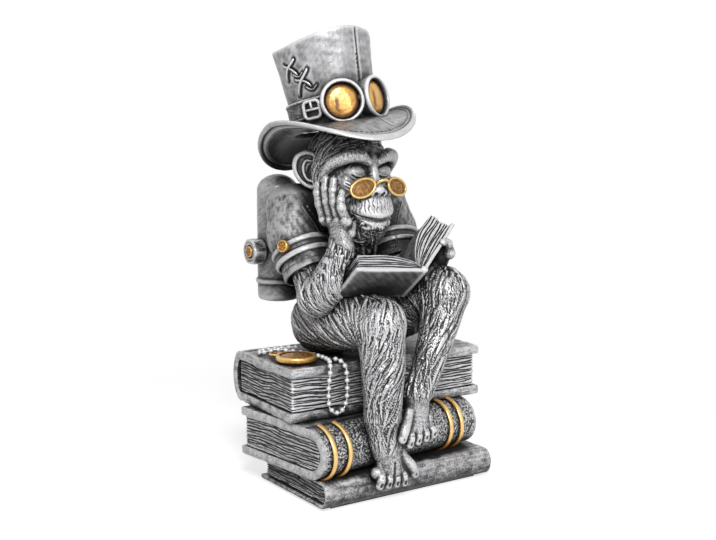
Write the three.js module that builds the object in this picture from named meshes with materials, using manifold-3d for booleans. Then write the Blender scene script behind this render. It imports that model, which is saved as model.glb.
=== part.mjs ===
import * as THREE from 'three';
import { mergeVertices } from 'three/addons/utils/BufferGeometryUtils.js';
import Module from 'manifold-3d';

// A shelf figurine: an ape in a short-sleeved jacket and a top hat with goggles sits on three
// stacked books and reads a fourth. Millimetres. +Z is up, the figure faces -Y, and the origin
// is near the centre of the underside. "Right" and "left" are the ape's own: its right is -X.

const wasm = await Module();
wasm.setup();

// Clearance between pieces that rest on, fit in or are trimmed to each other
const fit = 0.3;

// The stack of books: length along X, depth along Y
const padThickness = 0.8;
const padMargin = 6;
const bottomBook = {
  length: 97, depth: 60.4, thickness: 13, board: 2.2, round: 5.2, leaves: 3,
  inset: 2, x: 1.2, y: 3.8, turn: 0, spineSide: -1,
};
const middleBook = {
  length: 97.1, depth: 65.2, thickness: 23.4, board: 4.2, round: 11.7, leaves: 6,
  inset: 1.4, x: -4.6, y: 9.4, turn: 6.23, spineSide: -1,
};
const topBook = {
  length: 108.9, depth: 59.6, thickness: 25.2, board: 4.6, round: 8, leaves: 6,
  inset: 1.8, x: 1.5, y: 21.9, turn: -1.6, spineSide: 1,
};
const leafGroove = 0.8;
const spineBand = { width: 2.6, height: 1.1, places: [-42.9, -34.3, 29.9, 37.3] };

// The ape's frame of bones, measured from the seat on the top book
const hip = { x: 17, y: 22, z: 15 };
const rightKnee = [-13.5, -19, 20];
const leftKnee = [24, -19, 32];
const rightShoulder = [-32, 26, 72];
const leftShoulder = [19, 27, 72];
const rightElbow = [-34, 2, 31];
const rightWrist = [-28.5, -11.5, 54.5];
const leftElbow = [18, 6, 33];
const leftWrist = [25.6, -10.4, 42];
const rightPalm = [-30, -9, 64.5];
const leftPalm = [24, -17, 48.5];

// Ankles and the balls of the feet stand by the lower books, so their heights start at the table
const rightAnkle = [-16, -27, 40.8];
const leftAnkle = [3, -27.5, 49.8];
const rightBall = [-13, -28.5, 15.2];
const leftBall = [0, -30, 33.3];
const thighRadius = { hip: 16.5, middle: 15, knee: 11.5 };
const shinRadius = { knee: 11, calf: 10, ankle: 6.8 };
const sleeveRadius = { shoulder: 13, arm: 13.2, cuff: 12 };
const forearmRadius = { elbow: 8.6, middle: 8.4, wrist: 5.6 };
const torsoDepth = 16;
const torsoHalfWidth = { hips: 25, waist: 22, chest: 26, shoulders: 23, neck: 11 };
const torsoHeight = { waist: 36, chest: 58, shoulders: 70, neck: 80 };
const jacketThickness = 2;
const jacketHem = 24;
const jacketTop = 80;

// Head and hat, each turned about its own centre
const headCentre = { x: -12, y: 8, z: 87 };
const headTilt = { roll: 0, nod: 4, turn: 2 };
const cranium = { halfWidth: 20, halfDepth: 21, halfHeight: 22 };
const ear = { width: 13, height: 18.5, thickness: 3.4, bowl: 2, rim: 2.1, reach: 19 };
const hatSeat = { x: -16.5, y: 12, z: 110.2 };
const hatTilt = { back: 10.5, side: -6.5 };
const crown = { baseRadius: 20, topRadius: 23.5, height: 39.5, saddle: 2.4 };
const brim = { halfWidth: 36, halfDepth: 40, thickness: 2.4, rise: 4.5, dip: 14, roll: 1.9 };
const hatBand = { height: 9, thickness: 1.2, bottom: 3 };
const buckle = { width: 8.4, height: 9, wire: 1.4, azimuth: -58, level: 6.5 };
const goggle = { radius: 10.2, lensRadius: 8, depth: 3.2, root: 4, height: 7.5, azimuths: [-22, 25.5] };
const goggleBridgeReach = 3.6;

// Spectacles, low on the nose
const lens = { halfWidth: 6.2, halfHeight: 3.6, thickness: 1.2, rim: 1.1, droop: 12 };
const lensSpacing = 18.8;

// The book that the ape reads
const openBook = {
  length: 24, halfWidth: 36, cover: 1.8, rightPages: 6, leftPages: 9,
  rightRise: 5, leftRise: 42, pitch: 37, x: 4.7, y: -21.5, z: 36.2,
};

// The twin tanks on the back
const tank = { radius: 10.5, length: 63, bottom: 23, x: 27.5, y: 49, ringHeight: 10, ring: 1 };
const tankNut = { across: 12, thickness: 7, stud: 2.9, height: 48 };
const backPlate = { width: 38, height: 34, thickness: 3, bottom: 36 };

// Pocket watch and bead chain on the top book
const watch = { radius: 9.6, thickness: 3, rim: 1.1, x: -42, y: 8, turn: 15, bow: 2.6 };
const bead = { diameter: 2.3, link: 0.7, pitch: 3.6 };
const sleeveStrap = { from: 0.62, to: 0.84, height: 1.4, groove: 0.8 };
const sleeveStud = { radius: 2.9, height: 1.2, along: 0.67 };

// Finish of each material
const finishes = {
  antique_silver: [0x8c8e90, 0.42, 0.75],
  dark_silver: [0x55585a, 0.5, 0.7],
  bright_silver: [0xc8cacc, 0.3, 0.9],
  page_silver: [0x7c7e80, 0.5, 0.6],
  antique_gold: [0xb98a3a, 0.35, 0.9],
  bead_metal: [0xdadcde, 0.22, 1],
  base_felt: [0x26282a, 0.95, 0],
};

const radians = THREE.MathUtils.degToRad;
const vector = (p) => new THREE.Vector3(p[0], p[1], p[2]);
const zAxis = new THREE.Vector3(0, 0, 1);

// Levels of the stack
const seats = {
  bottom: padThickness + fit,
  middle: padThickness + fit + bottomBook.thickness + fit,
};
seats.top = seats.middle + middleBook.thickness + fit;
seats.ape = seats.top + topBook.thickness;

// Solids and geometries

function solid(geometry) {
  const bare = geometry.clone();
  bare.deleteAttribute('normal');
  bare.deleteAttribute('uv');
  const merged = mergeVertices(bare, 1e-4);
  const position = merged.attributes.position;
  const triangles = Uint32Array.from(merged.index.array);
  if (signedVolume(position, triangles) < 0) {
    triangles.reverse();
  }
  const mesh = new wasm.Mesh({
    numProp: 3,
    vertProperties: Float32Array.from(position.array),
    triVerts: triangles,
  });
  mesh.merge();
  return new wasm.Manifold(mesh);
}

function signedVolume(position, triangles) {
  const corners = [new THREE.Vector3(), new THREE.Vector3(), new THREE.Vector3()];
  let sum = 0;
  for (let i = 0; i < triangles.length; i += 3) {
    corners.forEach((corner, k) => corner.fromBufferAttribute(position, triangles[i + k]));
    sum += corners[0].dot(corners[1].clone().cross(corners[2]));
  }
  return sum / 6;
}

function geometryOf(body) {
  const mesh = body.getMesh();
  const geometry = new THREE.BufferGeometry();
  geometry.setAttribute('position', new THREE.BufferAttribute(mesh.vertProperties, 3));
  geometry.setIndex(new THREE.BufferAttribute(mesh.triVerts, 1));
  geometry.computeVertexNormals();
  return geometry;
}

function matrixOf({ at = [0, 0, 0], turn = [0, 0, 0], scale = [1, 1, 1] }) {
  const rotation = new THREE.Euler(radians(turn[0]), radians(turn[1]), radians(turn[2]), 'ZYX');
  const quaternion = new THREE.Quaternion().setFromEuler(rotation);
  return new THREE.Matrix4().compose(vector(at), quaternion, vector(scale));
}

const moved = (body, matrix) => body.transform(Array.from(matrix.elements));
const placed = (body, place) => moved(body, matrixOf(place));
const union = (bodies) => bodies.reduce((sum, body) => sum.add(body));
const without = (body, cutters) => cutters.reduce((rest, cutter) => rest.subtract(cutter), body);

// The largest single piece, so that a trim leaves no crumbs
function mainPiece(body) {
  const pieces = body.decompose();
  return pieces.reduce((best, piece) => (piece.volume() > best.volume() ? piece : best));
}

const box = (width, depth, height) => solid(new THREE.BoxGeometry(width, depth, height));

function ellipsoid(radii, at, turn = [0, 0, 0], around = 16, rows = 10) {
  return placed(solid(new THREE.SphereGeometry(1, around, rows)), { at, turn, scale: radii });
}

function rod(radius, length, sides = 16) {
  return solid(new THREE.CylinderGeometry(radius, radius, length, sides).rotateX(Math.PI / 2));
}

// A turned piece about Z; "bend" may move its points afterwards
function lathe(profile, segments, bend) {
  const points = profile.map(([r, z]) => new THREE.Vector2(r, z));
  const geometry = new THREE.LatheGeometry(points, segments).rotateX(Math.PI / 2);
  const position = geometry.attributes.position;
  const p = new THREE.Vector3();
  for (let i = 0; bend && i < position.count; i += 1) {
    p.fromBufferAttribute(position, i);
    bend(p);
    position.setXYZ(i, p.x, p.y, p.z);
  }
  return solid(geometry);
}

function extrude(shape, depth, options = {}) {
  return new THREE.ExtrudeGeometry(shape, { depth, bevelEnabled: false, ...options });
}

// A closed skin over rows of rings: point(u, v) runs round with u and along with v
function skin(around, rows, point) {
  const geometry = new THREE.SphereGeometry(1, around, rows);
  const position = geometry.attributes.position;
  for (let row = 0; row <= rows; row += 1) {
    for (let column = 0; column <= around; column += 1) {
      const p = point((column % around) / around, row / rows);
      position.setXYZ(row * (around + 1) + column, p.x, p.y, p.z);
    }
  }
  return solid(geometry);
}

// A closed band: point(u, v) runs round with u, and v runs round the band's own section
function ringSkin(around, section, point) {
  const geometry = new THREE.TorusGeometry(2, 1, section, around);
  const position = geometry.attributes.position;
  for (let j = 0; j <= section; j += 1) {
    for (let i = 0; i <= around; i += 1) {
      const p = point((i % around) / around, (j % section) / section);
      position.setXYZ(j * (around + 1) + i, p.x, p.y, p.z);
    }
  }
  return solid(geometry);
}

// A limb is a smooth centre line with a width and a depth at each station
function limbShape(stations, up = zAxis) {
  const line = new THREE.CatmullRomCurve3(stations.map((s) => vector(s.at)));
  const girth = new THREE.CatmullRomCurve3(
    stations.map((s) => new THREE.Vector3(s.width, s.depth ?? s.width, 0)),
  );
  return (s, angle, grow = 0, along = 0) => {
    const tangent = line.getTangent(s);
    const side = tangent.clone().cross(up).normalize();
    const front = side.clone().cross(tangent).normalize();
    const size = girth.getPoint(s);
    return line.getPoint(s)
      .addScaledVector(side, Math.cos(angle) * (size.x + grow))
      .addScaledVector(front, Math.sin(angle) * (size.y + grow))
      .addScaledVector(tangent, along);
  };
}

// The solid limb, with rounded ends of a few rows each
function limb(stations, { up, grow = 0, around = 14, rows = 8, domes = [0.8, 0.8], capRows = 2 } = {}) {
  const shape = limbShape(stations, up);
  const girth = (s) => shape(s, 0).distanceTo(shape(s, Math.PI)) / 2;
  const total = rows + 2 * capRows;
  return skin(around, total, (u, v) => {
    const row = Math.round(v * total);
    const s = THREE.MathUtils.clamp((row - capRows) / rows, 0, 1);
    const end = row < capRows ? 0 : 1;
    const past = Math.max(capRows - row, row - rows - capRows, 0) / capRows;
    const radius = girth(s) + grow;
    const reach = Math.sin((past * Math.PI) / 2) * domes[end] * radius * (end ? 1 : -1);
    const shrink = 1 - Math.cos((past * Math.PI) / 2);
    const outer = shape(s, u * 2 * Math.PI, grow, reach);
    return outer.lerp(shape(s, 0, grow, reach).lerp(shape(s, Math.PI, grow, reach), 0.5), shrink);
  });
}

// A band round a limb between two stations, from one height above its surface to another;
// a groove of the given depth may run along its middle
function limbBand(stations, { up, from, to, inner, outer, groove = 0, around = 12 }) {
  const shape = limbShape(stations, up);
  const third = (to - from) / 3;
  const floor = outer - groove;
  const hollow = [[to - third, outer], [to - third, floor], [from + third, floor], [from + third, outer]];
  const corners = [[from, inner], [to, inner], [to, outer], ...(groove ? hollow : []), [from, outer]];
  return ringSkin(around, corners.length, (u, v) => {
    const [s, grow] = corners[Math.round(v * corners.length)];
    return shape(s, u * 2 * Math.PI, grow);
  });
}

const part = new THREE.Group();

function mesh(name, finish, body, parent = part) {
  const [color, roughness, metalness] = finishes[finish];
  const material = new THREE.MeshStandardMaterial({ color, roughness, metalness });
  material.name = finish;
  const node = new THREE.Mesh(geometryOf(body), material);
  node.name = name;
  parent.add(node);
  return node;
}

// Adds a piece after trimming it to its neighbours
function piece(name, finish, body, cutters = [], parent = ape) {
  return mesh(name, finish, mainPiece(without(body, cutters)), parent);
}

// Closed books. In a book's own frame X runs along the spine, the spine is at -Y and the
// underside is at z = 0; a spineSide of +1 turns the book round.

function bookFrame(book, level) {
  const frame = new THREE.Group();
  frame.position.set(book.x, book.y, level);
  frame.rotation.z = radians(book.turn + (book.spineSide > 0 ? 180 : 0));
  frame.updateMatrixWorld();
  return frame;
}

// Section of the case: two boards and a rounded spine, shrunk on all sides by "inset"
function caseOutline(book, inset) {
  const back = -book.depth / 2;
  const shape = new THREE.Shape();
  const low = inset;
  const high = book.thickness - inset;
  const middle = book.thickness / 2;
  const reach = Math.max(book.round - inset, 0.5);
  const front = back + book.round;
  shape.moveTo(book.depth / 2 + inset, low);
  shape.lineTo(front, low);
  shape.absellipse(front, middle, reach, (high - low) / 2, 1.5 * Math.PI, 0.5 * Math.PI, true);
  shape.lineTo(book.depth / 2 + inset, high);
  return shape;
}

// Turns an outline drawn in Y and Z into a solid that runs along X, centred
function alongX(shape, length, options) {
  const geometry = extrude(shape, length, options);
  geometry.translate(0, 0, -length / 2);
  geometry.rotateX(Math.PI / 2);
  geometry.rotateZ(Math.PI / 2);
  return solid(geometry);
}

function bookCase(book, grow = 0) {
  const edge = 0.5;
  const outline = caseOutline(book, edge - grow);
  const bevel = { bevelEnabled: true, bevelSize: edge, bevelThickness: edge, bevelSegments: 1 };
  const length = book.length - 2 * edge + 2 * grow;
  const shell = alongX(outline, length, { curveSegments: 7, ...bevel });
  if (grow > 0) {
    return shell;
  }
  const hollow = alongX(caseOutline(book, book.board), book.length + 2, { curveSegments: 6 });
  return shell.subtract(hollow);
}

// The page block: leaves in groups, every other one set back to leave a groove
function bookPages(book) {
  const bottom = book.board + fit;
  const height = book.thickness - 2 * bottom;
  const layers = 2 * book.leaves + 1;
  const step = height / layers;
  const spineGap = book.board + fit + 1;
  const sheets = [];
  for (let i = 0; i < layers; i += 1) {
    const back = i % 2 ? book.inset + leafGroove : book.inset;
    const sag = 0.5 * Math.cos((i / (layers - 1) - 0.5) * Math.PI);
    const width = book.length - 2 * back;
    const depth = book.depth - back - sag - spineGap;
    const sheet = box(width, depth, step + 0.02);
    const y = spineGap - book.depth / 2 + depth / 2;
    sheets.push(placed(sheet, { at: [0, y, bottom + (i + 0.5) * step] }));
  }
  const roundBack = alongX(caseOutline(book, book.board + fit), book.length, { curveSegments: 6 });
  return union(sheets).intersect(roundBack);
}

// A raised band that wraps the rounded spine
function spineRing(book, offset, place) {
  const options = { curveSegments: 6 };
  const outer = alongX(caseOutline(book, -offset - spineBand.height), spineBand.width, options);
  const inner = alongX(caseOutline(book, -offset), spineBand.width + 2, options);
  const keep = placed(box(spineBand.width + 1, book.round + 3, book.thickness), {
    at: [0, -book.depth / 2 + (book.round + 3) / 2 - 3, book.thickness / 2],
  });
  return placed(outer.subtract(inner).intersect(keep), { at: [place, 0, 0] });
}

function addBook(name, book, level) {
  const frame = bookFrame(book, level);
  mesh(`${name}_cover`, 'antique_silver', bookCase(book), frame);
  mesh(`${name}_pages`, 'page_silver', bookPages(book), frame);
  part.add(frame);
  return frame;
}

function addBooks() {
  const length = bottomBook.length - 2 * padMargin;
  const depth = bottomBook.depth - 2 * padMargin;
  const pad = mesh('felt_pad', 'base_felt', box(length, depth, padThickness));
  pad.position.set(bottomBook.x, bottomBook.y, padThickness / 2);
  addBook('bottom_book', bottomBook, seats.bottom);
  const middle = addBook('middle_book', middleBook, seats.middle);
  spineBand.places.forEach((place, i) => {
    mesh(`spine_band_${i + 1}`, 'antique_gold', spineRing(middleBook, fit, place), middle);
  });
  addBook('top_book', topBook, seats.top);
}

// The ape. Its frame stands on the seat, so what reaches down to the lower books is worked out
// from the levels of the stack.

const ape = new THREE.Group();
ape.position.z = seats.ape;
part.add(ape);

const sideName = (side) => (side < 0 ? 'right' : 'left');
const station = (at, width, depth) => ({ at, width, depth });
const between = (a, b, t) => a.map((value, i) => value + (b[i] - value) * t);
const plus = (a, b) => a.map((value, i) => value + b[i]);

const torsoStations = [
  station([0, 25, 13], torsoHalfWidth.hips, torsoDepth + 1),
  station([0, 29, torsoHeight.waist], torsoHalfWidth.waist, torsoDepth - 1),
  station([-1, 29, torsoHeight.chest], torsoHalfWidth.chest, torsoDepth),
  station([-3, 26, torsoHeight.shoulders], torsoHalfWidth.shoulders, torsoDepth - 3),
  station([-8, 18, torsoHeight.neck], torsoHalfWidth.neck, torsoDepth - 5),
];

function torsoBody(grow = 0) {
  const up = new THREE.Vector3(0, -1, 0);
  return limb(torsoStations, { up, grow, around: 14, rows: 6, domes: [0.5, 0.3], capRows: 1 });
}

function kneeOf(side) {
  return side < 0 ? rightKnee : leftKnee;
}

function thigh(side, grow = 0) {
  const start = [side * hip.x, hip.y, hip.z];
  const end = kneeOf(side);
  const middle = plus(between(start, end, 0.5), [side * 1.5, 0, 1]);
  return limb([
    station(start, thighRadius.hip),
    station(middle, thighRadius.middle),
    station(end, thighRadius.knee),
  ], { grow, around: 10, rows: 5, domes: [0.9, 0.75] });
}

// A point whose height is measured from the table, in the ape's frame
const fromTable = ([x, y, z]) => [x, y, z - seats.ape];
const ankleOf = (side) => fromTable(side < 0 ? rightAnkle : leftAnkle);

function shin(side, grow = 0) {
  const start = plus(kneeOf(side), [0, -1, -3]);
  const end = ankleOf(side);
  const calf = plus(between(start, end, 0.45), [side * 0.5, -1.5, 0]);
  return limb([
    station(start, shinRadius.knee),
    station(calf, shinRadius.calf * (side < 0 ? 1 : 0.82)),
    station(end, shinRadius.ankle * (side < 0 ? 1 : 0.87)),
  ], { up: new THREE.Vector3(0, -1, 0), grow, around: 10, rows: 5, domes: [0.8, 0.5], capRows: 1 });
}

// A foot: a wedge from heel to ball, four toes and a thumb-like big toe
function foot(side, grow = 0) {
  const ankle = ankleOf(side);
  const ball = fromTable(side < 0 ? rightBall : leftBall);
  const toeLift = side < 0 ? 0.3 : 0.9;
  const up = new THREE.Vector3(0, -1, 0);
  const pieces = [limb([
    station(plus(ankle, [0, 1.5, 0]), 6, 5.5),
    station(between(ankle, ball, 0.5), 7.4, 5),
    station(ball, 8.6, 4),
  ], { up, grow, around: 10, rows: 3, domes: [0.6, 0.5], capRows: 1 })];
  for (let i = 0; i < 4; i += 1) {
    const spread = (i - 1.2) * 4 * side;
    const root = plus(ball, [spread * 0.9, -0.5, 0.5]);
    const tip = plus(root, [spread * 0.25, -1.5, -6.6 + i * toeLift]);
    pieces.push(limb([station(root, 2.1, 2.4), station(tip, 1.9, 2.1)], {
      up, grow, around: 6, rows: 1, domes: [0.5, 0.7], capRows: 1,
    }));
  }
  const root = plus(ball, [-side * 6.4, -1, 5]);
  const tip = plus(root, [-side * 4.2, -2.2, -7.5]);
  pieces.push(limb([station(root, 2.7, 2.6), station(tip, 2.2, 2.3)], {
    up, grow, around: 6, rows: 1, domes: [0.5, 0.7], capRows: 1,
  }));
  return union(pieces);
}

// Arms

const shoulderOf = (side) => (side < 0 ? rightShoulder : leftShoulder);
const elbowOf = (side) => (side < 0 ? rightElbow : leftElbow);

function sleeveStations(side) {
  const top = shoulderOf(side);
  const elbow = elbowOf(side);
  return [
    station(top, sleeveRadius.shoulder),
    station(plus(between(top, elbow, 0.3), [side * 2.5, 1.5, 0]), sleeveRadius.arm),
    station(plus(between(top, elbow, 0.5), [side * 1.8, 0.8, 0]), sleeveRadius.arm - 0.6),
    station(plus(between(top, elbow, 0.74), [side * 0.6, 0, 0]), sleeveRadius.cuff),
  ];
}

const sleeveUp = new THREE.Vector3(0, -1, 0);

function sleeve(side, grow = 0) {
  return limb(sleeveStations(side), {
    up: sleeveUp, grow, around: 12, rows: 5, domes: [0.75, 0.05],
  });
}

function forearm(side, grow = 0) {
  const top = between(elbowOf(side), shoulderOf(side), 0.42);
  const elbow = elbowOf(side);
  const wrist = side < 0 ? rightWrist : leftWrist;
  const up = new THREE.Vector3(side, 0.3, 0);
  const stub = limb([
    station(top, forearmRadius.elbow),
    station(elbow, forearmRadius.elbow),
  ], { up, grow, around: 10, rows: 2, domes: [0.4, 0.8] });
  const lower = limb([
    station(elbow, forearmRadius.elbow),
    station(plus(between(elbow, wrist, 0.35), [0, -2.5, -1]), forearmRadius.middle),
    station(wrist, forearmRadius.wrist),
  ], { up, grow, around: 10, rows: 4, domes: [0.8, 0.4], capRows: 1 });
  return stub.add(lower);
}

// A hand: a palm and its four fingers, bent through "knuckle", with a thumb
function hand(wrist, palm, fingers, thumb) {
  const up = new THREE.Vector3(1, 0, 0);
  const pieces = [limb([
    station(wrist, 5.6, 5),
    station(between(wrist, palm, 0.6), 7, 4.6),
    station(palm, 7.4, 4),
  ], { up, around: 10, rows: 3, domes: [0.5, 0.6], capRows: 1 })];
  fingers.forEach(([root, knuckle, tip]) => {
    pieces.push(limb([station(root, 2.3), station(knuckle, 2.2), station(tip, 1.9)], {
      up, around: 6, rows: 3, domes: [0.5, 0.8], capRows: 1,
    }));
  });
  pieces.push(limb(thumb.map((at) => station(at, 2.3)), { up, around: 6, rows: 2, capRows: 1 }));
  return union(pieces);
}

// The right hand lies along the cheek with its fingers up
function rightHand() {
  const palm = rightPalm;
  const fingers = [];
  for (let i = 0; i < 4; i += 1) {
    const root = plus(palm, [-0.4, -5 + 3.5 * i, 3.5]);
    const reach = 18.5 - 1.6 * Math.abs(i - 1.4);
    fingers.push([root, plus(root, [-2.4, 0.8, 9]), plus(root, [-1.6 - 0.4 * i, 2.2, reach])]);
  }
  const thumb = [[3, -3, -6], [5.5, -2, -3], [7.5, 1, 0]].map((at) => plus(palm, at));
  return hand(rightWrist, palm, fingers, thumb);
}

// The left hand props the raised half of the book from behind
function leftHand() {
  const palm = leftPalm;
  const fingers = [];
  for (let i = 0; i < 4; i += 1) {
    const root = plus(palm, [0, -4.5 + 3.2 * i, 2]);
    fingers.push([root, plus(root, [-1.8, -0.8, 4.6]), plus(root, [-5, -1.2, 5])]);
  }
  const thumb = [[-1, 3, -5], [-6, 1, -7], [-10, 0, -10]].map((at) => plus(palm, at));
  return hand(leftWrist, palm, fingers, thumb);
}

// Head. In its own frame the face looks along -Y and the origin is the middle of the skull.

const headPlace = {
  at: [headCentre.x, headCentre.y, headCentre.z],
  turn: [headTilt.nod, headTilt.roll, headTilt.turn],
};

function skull(grow = 0) {
  const { halfWidth, halfDepth, halfHeight } = cranium;
  return ellipsoid([halfWidth + grow, halfDepth + grow, halfHeight + grow], [0, 3, 2], [0, 0, 0], 12, 7);
}

function muzzle(grow = 0) {
  return limb([
    station([0, -5, -16], 15, 13),
    station([0, -13, -15], 13.5, 11.5),
    station([0, -18, -14], 11, 9.5),
  ], { grow, around: 10, rows: 3, domes: [0.6, 0.55] });
}

function browRidge(grow = 0) {
  return limb([
    station([-17, -7, 6], 3.2, 2.6),
    station([-9, -16.5, 9.5], 3.6, 3),
    station([0, -18, 7.5], 3, 2.6),
    station([9, -16.5, 9.5], 3.6, 3),
    station([17, -7, 6], 3.2, 2.6),
  ], { up: zAxis, grow, around: 6, rows: 8, capRows: 1 });
}

function nose(grow = 0) {
  const bridge = limb([
    station([0, -16, 6], 3, 2.6),
    station([0, -19.5, -1], 3.2, 2.8),
    station([0, -21.5, -5], 5.2, 3.4),
  ], { up: new THREE.Vector3(0, -1, 0), grow, around: 8, rows: 3, domes: [0.5, 0.5] });
  return bridge;
}

function chin(grow = 0) {
  return limb([
    station([-9, -9, -24], 4.6, 4.6),
    station([0, -15.5, -25], 6, 5.4),
    station([9, -9, -24], 4.6, 4.6),
  ], { up: zAxis, grow, around: 8, rows: 4, capRows: 1 });
}

function headBody(grow = 0) {
  const cheeks = [-1, 1].map((side) => ellipsoid(
    [7 + grow, 8 + grow, 9 + grow], [side * 9, -9.5, -5], [0, 0, 0], 8, 6,
  ));
  const eyes = [-1, 1].map((side) => ellipsoid(
    [5 + grow, 4.2 + grow, 4 + grow], [side * 8.6, -14.2, 2.4], [0, 0, 0], 8, 5,
  ));
  const throat = limb([
    station([2, 2, -10], 14, 12),
    station([5, 10, -20], 12.5, 11),
  ], { up: new THREE.Vector3(0, -1, 0), grow, around: 10, rows: 2, domes: [0.5, 0.6], capRows: 1 });
  const pieces = [skull(grow), muzzle(grow), browRidge(grow), nose(grow), chin(grow), throat];
  return placed(union([...pieces, ...cheeks, ...eyes]), headPlace);
}

// The mouth is a groove between the long upper lip and the chin
function mouthGroove() {
  return placed(limb([
    station([-11, -19, -18], 0.9, 1.6),
    station([-5, -25, -20.5], 0.9, 1.6),
    station([5, -25, -20.5], 0.9, 1.6),
    station([11, -19, -18], 0.9, 1.6),
  ], { up: zAxis, around: 4, rows: 6, capRows: 1 }), headPlace);
}

// An ear: a dished oval that stands off the head
function earBody() {
  const rim = ellipsoid([ear.width / 2, ear.thickness, ear.height / 2], [0, 0, 0], [0, 0, 0], 12, 7);
  const hollow = [ear.width / 2 - ear.rim, ear.thickness, ear.height / 2 - ear.rim];
  const dish = ellipsoid(hollow, [0, -ear.bowl, 0], [0, 0, 0], 8, 5);
  return rim.subtract(dish);
}

function earPlace(side) {
  return {
    at: [headCentre.x + side * ear.reach - 0.8, headCentre.y + 8, headCentre.z + (side < 0 ? 2 : 6)],
    turn: [6, -10, side * 36],
  };
}

// Hat. In its own frame Z is the crown's axis and the origin is the middle of the crown's foot.

const hatPlace = { at: [hatSeat.x, hatSeat.y, hatSeat.z], turn: [-hatTilt.back, hatTilt.side, 0] };

function crownRadius(z) {
  const t = z / crown.height;
  return crown.baseRadius + (crown.topRadius - crown.baseRadius) * t ** 1.4;
}

function hatCrown(grow = 0) {
  const profile = [[0, -grow], [crownRadius(0) + grow, -grow]];
  const steps = 5;
  for (let i = 1; i <= steps; i += 1) {
    const z = (crown.height - 1) * (i / steps);
    profile.push([crownRadius(z) + grow, z]);
  }
  profile.push([crownRadius(crown.height) + grow - 1, crown.height + grow]);
  profile.push([crownRadius(crown.height) - 3.5, crown.height - 0.8 + grow]);
  profile.push([0, crown.height - 1.6 + grow]);
  return lathe(profile, 24, (p) => {
    const lift = Math.max(p.z / crown.height, 0) * crown.saddle;
    const share = Math.min(Math.hypot(p.x, p.y) / crown.topRadius, 1);
    p.z -= lift * Math.cos(2 * Math.atan2(p.y, p.x)) * share;
  });
}

// The brim dips at the front and back and curls up at the sides
function brimSurface(azimuth, share) {
  const foot = crown.baseRadius + fit;
  const x = Math.cos(azimuth) * (foot + (brim.halfWidth - foot) * share);
  const y = Math.sin(azimuth) * (foot + (brim.halfDepth - foot) * share);
  const lift = share ** 1.5 * (brim.rise * Math.cos(azimuth) ** 2 - brim.dip * Math.sin(azimuth) ** 2);
  return new THREE.Vector3(x, y, lift);
}

function hatBrim(grow = 0) {
  const half = brim.thickness / 2;
  const section = [
    [0, half], [0.45, half], [0.88, half * 0.9], [0.95, brim.roll], [1, 0],
    [0.95, -half * 1.1], [0.45, -half], [0, -half],
  ];
  return ringSkin(24, section.length, (u, v) => {
    const [share, height] = section[Math.round(v * section.length)];
    const point = brimSurface(u * 2 * Math.PI, share * (1 + grow / brim.halfWidth));
    point.z += height + Math.sign(height) * grow - half;
    return point;
  });
}

function hatBandBody(grow = 0) {
  const top = hatBand.bottom + hatBand.height + grow;
  const low = hatBand.bottom - grow;
  const inside = fit - grow;
  const outside = fit + hatBand.thickness + grow;
  const edge = 0.5;
  return lathe([
    [crownRadius(low) + inside, low],
    [crownRadius(low) + outside - edge, low],
    [crownRadius(low) + outside, low + edge],
    [crownRadius(top) + outside, top - edge],
    [crownRadius(top) + outside - edge, top],
    [crownRadius(top) + inside, top],
    [crownRadius(low) + inside, low],
  ], 24);
}

// Places a piece drawn in XZ, facing -Y, on the crown at an azimuth from the front
function onCrown(body, azimuth, height, distance) {
  const angle = radians(azimuth);
  const radius = crownRadius(height) + distance;
  return placed(body, {
    at: [radius * Math.sin(angle), -radius * Math.cos(angle), height],
    turn: [0, 0, azimuth],
  });
}

function roundedFrame(width, height, wire, thickness) {
  const outline = (w, h, r) => {
    const shape = new THREE.Shape();
    shape.moveTo(-w / 2 + r, -h / 2);
    shape.lineTo(w / 2 - r, -h / 2);
    shape.quadraticCurveTo(w / 2, -h / 2, w / 2, -h / 2 + r);
    shape.lineTo(w / 2, h / 2 - r);
    shape.quadraticCurveTo(w / 2, h / 2, w / 2 - r, h / 2);
    shape.lineTo(-w / 2 + r, h / 2);
    shape.quadraticCurveTo(-w / 2, h / 2, -w / 2, h / 2 - r);
    shape.lineTo(-w / 2, -h / 2 + r);
    shape.quadraticCurveTo(-w / 2, -h / 2, -w / 2 + r, -h / 2);
    return shape;
  };
  const frame = outline(width, height, 2);
  frame.holes.push(outline(width - 2 * wire, height - 2 * wire, 1));
  const geometry = extrude(frame, thickness, { curveSegments: 2 });
  return solid(geometry.rotateX(Math.PI / 2));
}

function buckleBody() {
  const frame = roundedFrame(buckle.width, buckle.height, buckle.wire, 1.4);
  const bar = placed(box(buckle.width - 1, 1.4, buckle.wire), { at: [0, -0.7, 0] });
  const tongue = placed(box(1.4, 1.2, buckle.height / 2), { at: [0, -1.5, buckle.height / 4 - 0.5] });
  return union([frame, bar, tongue]);
}

const bandFace = fit + hatBand.thickness + fit;

// A goggle's rim: a short tube with a rounded front edge; its back follows the hat band
function goggleRim() {
  const inner = goggle.lensRadius;
  return solid(new THREE.LatheGeometry([
    [inner + fit, -goggle.root], [goggle.radius - 0.5, -goggle.root], [goggle.radius, goggle.depth - 1.2],
    [goggle.radius - 0.9, goggle.depth], [inner + 0.7, goggle.depth], [inner + fit, goggle.depth - 0.6],
    [inner + fit, -goggle.root],
  ].map(([r, z]) => new THREE.Vector2(r, z)), 18));
}

function goggleLens() {
  const inner = goggle.lensRadius;
  return solid(new THREE.LatheGeometry([
    [0, -goggle.root], [inner, -goggle.root], [inner, goggle.depth - 2.4], [inner * 0.72, goggle.depth - 1.5],
    [0, goggle.depth - 0.9],
  ].map(([r, z]) => new THREE.Vector2(r, z)), 16));
}

// A lathe about Y is turned so that its open end looks along -Y
const facingFront = (body) => placed(body, { turn: [180, 0, 0] });

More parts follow.
